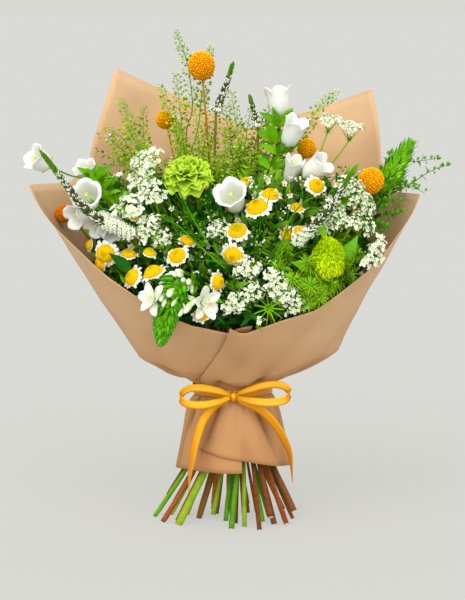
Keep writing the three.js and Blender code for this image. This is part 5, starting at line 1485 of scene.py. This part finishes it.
for name, racemes in RACEMES.items():
    for index, raceme in enumerate(racemes):
        draw = draws(100 + index + len(name))
        root = branch_root(name, index)
        points = [root, root * 0.5 + np.array(raceme[0]) * 0.5 + draw.normal(size=3) * 2, *raceme]
        line = smooth(points, 24)
        frames, podded = frames_along(line), index < PODDED
        tube(twigs, points, (0.8, 0.6, 0.3), 4, 6, draw.random())
        for share in np.linspace(0.36, 0.86, 3 if podded else 20):  # small leaves that clasp the stem
            spot, run, _ = place(line, frames, share, 0)
            out = turned(run, draw.random() * 6, math.pi / 2)
            if free(spot + out * 8):
                long = 7 + 5 * draw.random()
                shape = sheet(long, long * 0.42, LANCE, 3, 2, 0.8, 0.3)
                leaf(twigs, shape, spot, out + run * 0.5, run, draw.random())
        count = (30 if podded else 20) + int(np.linalg.norm(np.subtract(raceme[-1], raceme[0])) * 0.55)
        for k in range(count):
            share = 0.42 + 0.58 * (k + 0.5) / count
            spot, run, out = place(line, frames, share, k * GOLDEN)
            reach = (7.5 - 5.2 * (share - 0.42) / 0.58) * (0.8 + 0.4 * draw.random())
            tip = spot + out * reach + run * reach * 0.45
            if not free(tip):
                continue
            tube(twigs, [spot, tip], (0.24, 0.2), 3, 1, draw.random())
            way = unit(out + run * 0.5)
            flat = unit(np.cross(way, run) + 0.5 * draw.normal(size=3))
            size = (4.8 - 2.1 * (share - 0.42) / 0.58) * (0.8 + 0.4 * draw.random())
            target = seeds if share > 0.93 and index in (1, 7) else pods
            set_down(target, DISC_POD, tip + way * size * 0.35, flat, size, tone=draw.random())
pieces(list(RACEMES), "woody_stem", ("thlaspi_pods", pods, POD), ("thlaspi_tips", seeds, WHITE_FLORET),
       ("thlaspi_twigs", twigs, FINE_LEAF))

# %% [markdown]
# ## Vines, fine green and grass
# Leafy vines reach over the right edge and a small sprig over the left. Needle-fine green fills the low
# right side, and a few long blades and thin curved stems cross the front.

# %% A branch with leaves
def leafy_run(stems, leaves, points, count, length, width, seed, start=0.3, thick=0.8):
    """A thin branch with leaves of one length and width, from a share of its way up to its tip."""
    line = smooth(points, 14)
    frames, draw = frames_along(line), draws(seed)
    tube(stems, points, (thick, thick * 0.8, thick * 0.35), 5, 6, draw.random())
    for k in range(count):
        share = start + (1 - start) * (k + 0.5) / count
        spot, run, out = place(line, frames, share, k * GOLDEN)
        size = (1 - 0.45 * k / count) * (0.75 + 0.5 * draw.random())
        bend, phase = 0.3 + 0.9 * draw.random(), draw.random() * 6
        shape = sheet(length * size, width * size, OVAL, 8, 4, bend, 0.3, 0.06 * width, 1.5, phase)
        up = unit(run + (0, 0, 0.6) + 0.3 * draw.normal(size=3))
        way = unit(out + run * 0.8)
        if free(spot + way * length * size * 0.6, spot + way * length * size):
            leaf(leaves, shape, spot + out * thick * 0.6, way, up, draw.random())
    runs, sides, _ = frames
    if free(line[-1] + runs[-1] * length * 0.6):
        shape = sheet(length * 0.6, width * 0.5, OVAL, 6, 2, 0.3, 0.3)
        leaf(leaves, shape, line[-1], runs[-1], sides[-1], 0.6)
    return line


stems, leaves, tips = Growth(), Growth(), Growth()
VINES = [
    [(146, 8, 352), (172, 0, 360), (193, -10, 368), (212, -22, 382), (231, -28, 390)],
    [(150, 14, 368), (181, 8, 389), (203, 0, 393), (222, -8, 396)],
    [(166, 0, 358), (188, -16, 369), (208, -30, 360)],
    [(140, -20, 340), (158, -34, 352), (180, -44, 352)],
    [(148, 0, 360), (166, -6, 384), (172, -10, 402)], [(150, -30, 344), (172, -44, 338), (186, -46, 342)],
    [(146, -10, 352), (176, -30, 366), (196, -36, 366)], [(136, -20, 330), (150, -50, 330), (164, -60, 326)],
]
for index, points in enumerate(VINES):
    count = 11 if index < 3 else 22  # the first three are sparser
    line = leafy_run(stems, leaves, [branch_root("vine", index), *points], count, 11, 6.5, 200 + index, 0.36)
    for k in range(6):
        spot = line[-2 - 5 * k]
        set_down(tips, BEAD, spot + (1.5, -1, 1.5), (0.5, -0.4, 0.8), 3.0, 4.4, 0.4)
VINE_STEM = plant("vine_stem", (92, 74, 44), (110, 140, 52), 0.6, 0.5, 200, 0.6)
pieces(["vine"], "leaf", ("vine_stems", stems, VINE_STEM), ("vine_leaves", leaves, VINE_LEAF),
       ("vine_buds", tips, CONE_BUD))

# %% Fine green and its spidery bract
needles, draw = Growth(), draws(210)
NEEDLES = 46  # on each run
FINE_RUNS = [
    [(92, -96, 258), (106, -108, 272)], [(66, -98, 262), (62, -118, 278)], [(104, -84, 266), (128, -94, 280)],
    [(80, -92, 262), (82, -114, 270)], [(60, -96, 250), (48, -116, 258)], [(84, -96, 254), (94, -112, 258)],
    [(110, -84, 276), (136, -90, 304)], [(84, -90, 270), (78, -112, 296)], [(72, -94, 252), (80, -116, 250)],
    [(98, -88, 272), (120, -98, 292)], [(60, -90, 262), (46, -108, 290)], [(56, -80, 280), (56, -96, 310)],
    [(92, -80, 290), (124, -84, 320)],
]
for index, points in enumerate(FINE_RUNS):
    root = branch_root("feathery_green", index)
    line = smooth([root, *points], 24)
    frames = frames_along(line)
    tube(needles, [root, *points], (0.9, 0.7, 0.4), 5, 6, 0.5)
    for k in range(NEEDLES):
        share = 0.34 + 0.66 * (k + 0.5) / NEEDLES
        spot, run, out = place(line, frames, share, k * GOLDEN)
        way = out + run * (0.5 + 0.6 * draw.random())
        long = 18 * (1.1 - 0.5 * share) * (0.7 + 0.6 * draw.random())
        for fork in (-0.5, 0, 0.5):  # each needle leaf is forked
            side = way + np.cross(run, out) * fork + 0.15 * draw.normal(size=3)
            shape = sheet(long, 1.1, (0.8, 1, 0.8, 0.1), 5, 1, 1.5 * draw.random())
            leaf(needles, shape, spot, side, run, draw.random())
BRACT = np.array([38, -120, 246.0])
stalk(needles, branch_root("feathery_green", 6, 6), BRACT, (0.9, 0.9, 1.2), 6, 0.4)
for k in range(22):
    way = np.array([math.cos(k * 0.571), -0.35 - 0.3 * (k % 2), math.sin(k * 0.571)])
    thread = [BRACT, BRACT + way * 8, BRACT + way * 16 + (0, -2, 0)]
    tube(needles, thread, (0.8, 0.6, 0.15), 5, 3, draw.random())
    set_down(needles, BEAD, BRACT + way * 3, way, 2.2, 3, draw.random())
piece("fine_green", needles, FINE_LEAF, ["feathery_green"], "feathery_leaf")

# %% Grass, thin curved stems and the left sprig
blades = Growth()
GRASS = [
    [(-66, -48, 350), (-84, -60, 386)], [(-42, -74, 326), (-24, -96, 338)],
    [(-30, -56, 346), (-22, -72, 374)], [(-50, -70, 340), (-66, -84, 392)],
    [(-34, -80, 320), (-12, -104, 352)], [(-58, -60, 330), (-70, -96, 366)],
]
for index, points in enumerate(GRASS):
    blade = [branch_root("grass", index), *points]
    strip(blades, blade, [(1, 0.4, 0.1)] * len(blade), (1.4, 3.2, 2.4, 0.3), 14, 2, -0.4)
for points in ([(-80, -92, 340), (-58, -104, 332), (-36, -112, 312), (-8, -118, 288)],
               [(-60, -96, 376), (-42, -106, 340), (-28, -112, 318)],
               [(98, -96, 362), (78, -102, 358), (62, -106, 341), (54, -106, 319), (42, -100, 289)]):
    tube(blades, points, (0.5, 0.8, 1.0), 6, 10, 0.6)
FINE_BLADES, draw = 130, draws(215)
for k in range(FINE_BLADES):  # they cross in front of the deep green
    start = np.array([-96 + 190 * draw.random(), -78, 286 + 84 * draw.random()])
    start[1] = -92 + 0.003 * start[0] ** 2 + 0.2 * (start[2] - 286) - 8 * draw.random()
    run = unit(outward(start) * (1, 0.2, 1) + (-0.3, -0.2, 0.5) + 0.5 * draw.normal(size=3))
    end = start + run * (24 + 30 * draw.random())
    if (start[2] < 350 or start[0] < 20) and free(*np.linspace(start, end, 7)):
        middle = (start + end) / 2 + 4 * draw.normal(size=3)
        tube(blades, [start, middle, end], (0.7, 0.6, 0.2), 4, 4, draw.random())
piece("grass_blades", blades, GRASS_BLADE, ["grass"], "leaf", 0.2)
sprig_stems, sprig_leaves = Growth(), Growth()
for index, points in enumerate([[(-100, 40, 380), (-128, 56, 400), (-148, 58, 418)],
                                [(-104, 38, 376), (-134, 50, 392), (-150, 54, 402)],
                                [(-98, 44, 372), (-120, 50, 384), (-140, 50, 386)]]):
    points = [branch_root("thlaspi_far_left", index), *points]
    leafy_run(sprig_stems, sprig_leaves, points, 10, 8, 3.6, 220 + index, 0.45)
pieces(["thlaspi_far_left"], "woody_stem", ("left_sprig_stems", sprig_stems, FINE_LEAF),
       ("left_sprig_leaves", sprig_leaves, VINE_LEAF))

# %% [markdown]
# ## Leaves inside the bunch
# Broad dark leaves fill the back, and many small ones fill the gaps between the flowers, so that looking
# in shows deep green and not bare stems.

# %% Broad leaves at the back, small ones in front
stems, broad, small = Growth(), Growth(), Growth()
BROAD = {
    "dark_leaves_left": [[(-66, 84, 330), (-78, 98, 366)], [(-90, 64, 320), (-118, 68, 346)],
                         [(-38, 88, 320), (-28, 108, 346)], [(-90, 50, 310), (-124, 28, 326)]],
    "dark_leaves_right": [[(72, 88, 330), (86, 100, 366)], [(92, 60, 320), (122, 64, 342)],
                          [(42, 92, 320), (38, 112, 344)], [(96, 40, 306), (124, 20, 320)]],
}
for name, runs in BROAD.items():
    for index, run in enumerate(runs):
        points = [branch_root(name, index), *run]
        leafy_run(stems, broad, points, 8, 34, 15, 230 + index + len(name), 0.25, thick=1.3)
for root, tip in (((-107, -104, 281), (-126, -112, 303)), ((-51, -104, 273), (-70, -112, 288)),
                  ((-28, -80, 348), (-25, -88, 371)), ((-87, -96, 292), (-97, -104, 310))):  # among daisies
    root, run = np.array(root, float), np.subtract(tip, root)
    long = float(np.linalg.norm(run)) * 1.1
    leaf(broad, sheet(long, long * 0.42, OVAL, 10, 4, 0.4, 0.4, 0.6, 2), root, run, (0.2, -1, 0.6), 0.5)
SMALL = [
    [(-66, -90, 258), (-92, -104, 250)], [(-40, -92, 270), (-18, -108, 256)],
    [(-64, -60, 292), (-70, -58, 326)], [(-80, -80, 270), (-112, -96, 268)],
    [(-60, -76, 284), (-80, -96, 316)], [(-44, -80, 288), (-30, -96, 320)],
    [(-92, -60, 286), (-124, -74, 322)], [(-70, -84, 262), (-60, -110, 258)],
]
for index, run in enumerate(SMALL):
    leafy_run(stems, small, [branch_root("front_leaves", index), *run], 11, 22, 8.5, 250 + index)
piece("branch_twigs", stems, WOODY_STEM, [*BROAD, "front_leaves"], "leaf")
piece("broad_leaves", broad, DARK_LEAF, list(BROAD), "leaf")
piece("small_leaves", small, BRIGHT_LEAF, ["front_leaves"], "leaf")

# %% [markdown]
# ## Waxflower and small bits
# Tiny white five-petalled flowers are scattered through the gaps, with a few dry brown bracts.

# %% Waxflower, dry bits and the leaves that close the gaps, dark behind as painted shade and bright in front
florets, hearts, twigs, dry, shaded_filler, near = (Growth() for _ in range(6))
WAXFLOWERS, DRY_BITS, FILLERS, TINY_BUDS = 100, 46, 2600, 340
draw = draws(5)
neck = np.array(STEMS["waxflower"][0], float)


def front_face(x, z):
    """Where the front of the bunch is: it bows back to its sides and leans back to its top."""
    return -112 + 0.0042 * x * x + 0.20 * (z - 250)


for k in range(WAXFLOWERS):
    _, x, _, z = draw.random(4)
    spot = np.array([-130 + 270 * x, 0, 262 + 120 * z])
    spot[1] = -100 + 0.0016 * (spot[0] + 10) ** 2 + 0.16 * (spot[2] - 262) + 14 * draw.random()
    root = neck + (spot - neck) * 0.35 + (0, 20, -14)
    if not free(spot):
        continue
    tube(twigs, [neck, root, spot], (0.8, 0.5, 0.3), 4, 4, draw.random())
    facing = unit(outward(spot) + 0.4 * draw.normal(size=3))
    size = 3.6 + 1.8 * draw.random()
    angles = [petal * FIFTH + k for petal in range(5)]
    whorl(florets, sheet(size, size * 0.9, OVAL, 3, 2, 0.3, 0.3), angles, 1.2, spot, facing, draw)
    set_down(hearts, GRAIN, spot, facing, size * 0.5, tone=draw.random())
for k in range(DRY_BITS):
    at = np.array([-36 if k % 2 else 62, -84, 342]) + (14, 8, 18) * draw.normal(size=3)
    leaf(dry, sheet(7, 3.4, LANCE, 4, 2, 1.2, 0.6), at, draw.normal(size=3), (0, 0, 1), draw.random())
# painted shade and light: the dark layer behind the flowers stands for the shade deep in the bunch, the
# bright one closer to the front for its lit face
for k in range(FILLERS):  # a dark layer behind the flowers, and a bright one closer to the front
    front = k % 3 == 0
    x, z = -150 + 300 * draw.random(), 222 + (150 if front else 134) * draw.random() ** 0.9
    face = front_face(x, z) + 0.012 * max(0, z - 330) ** 2
    at = np.array([x, face + (4 if front else 22) + 22 * draw.random(), z])
    size = (14 if front else 20) + 12 * draw.random()
    shape = sheet(size, size * (0.16 + 0.2 * draw.random()), LANCE, 5, 2, 0.3 + 0.9 * draw.random(), 0.3)
    way = unit(outward(at) * (1, 0.35, 1) + (0, 0, 0.5) + 0.75 * draw.normal(size=3))
    if free(at, at + way * size * 0.6, at + way * size):
        leaf(near if front and z > 262 else shaded_filler, shape, at, way, (0, -1, 0.3), draw.random())
for k in range(TINY_BUDS):  # tiny buds and threads of green between the flowers
    x, z = -140 + 285 * draw.random(), 246 + 140 * draw.random()
    at = np.array([x, front_face(x, z) + 12 * draw.random(), z])
    root = at - outward(at) * 24 - (0, 0, 8) + 6 * draw.normal(size=3)
    if not free(*np.linspace(at, root, 5)):
        continue
    tube(near, [root, (root + at) / 2 + 2 * draw.normal(size=3), at], (0.6, 0.5, 0.35), 4, 3, draw.random())
    for j in range(4):
        spot = at + 2.6 * draw.normal(size=3)
        way, size, tone = outward(at) + 0.5 * draw.normal(size=3), 2.0 + 1.2 * draw.random(), draw.random()
        if free(spot):
            set_down(near if k % 5 else florets, BEAD, spot, way, size, 2.6, tone)
pieces(["waxflower"], "star_petal", ("waxflower_petals", florets, WHITE_FLORET),
       ("waxflower_hearts", hearts, LACE_HEART), ("waxflower_twigs", twigs, WOODY_STEM),
       ("dry_bracts", dry, DRY))
piece("inner_leaves", shaded_filler, DARK_LEAF, ["dark_leaves_left", "dark_leaves_right"], "leaf")
piece("near_leaves", near, NEAR_LEAF, ["front_leaves", "waxflower"], "leaf")

# %% [markdown]
# ## The twine
# Under the paper the stems are held by two turns of twisted twine.

# %% Two turns of twisted twine
TWINE_RADIUS = 33.6  # of each coil round the stems
STRAND_OFFSET, STRAND_RADIUS, TWISTS = 0.55, 0.75, 22
twine = Growth()
turns = np.linspace(0, 4 * math.pi, 97)
rise = TIE_HEIGHT - 1.5 + 3 * turns / turns[-1]
coil = np.stack([TWINE_RADIUS * np.cos(turns), TWINE_RADIUS * np.sin(turns), rise], -1)
out = coil * (1, 1, 0) / TWINE_RADIUS
for strand in (0, math.pi):
    twist = turns * TWISTS + strand
    aside = out * (STRAND_OFFSET * np.cos(twist))[:, None]
    points = coil + aside + np.outer(STRAND_OFFSET * np.sin(twist), (0, 0, 1))
    tube(twine, points, STRAND_RADIUS, 6, 3, 0.5)
piece("twine_turns", twine, plant("twine", (176, 140, 88), (190, 152, 100), 0.3, 0.5, 700, 0.9, 0.6),
      ["binding_twine"], "twine")

# %% [markdown]
# ## Finishing
# The colours are shown as they are, without a film look.

# %% The colour view and the end
bpy.context.scene.view_settings.view_transform = "Standard"
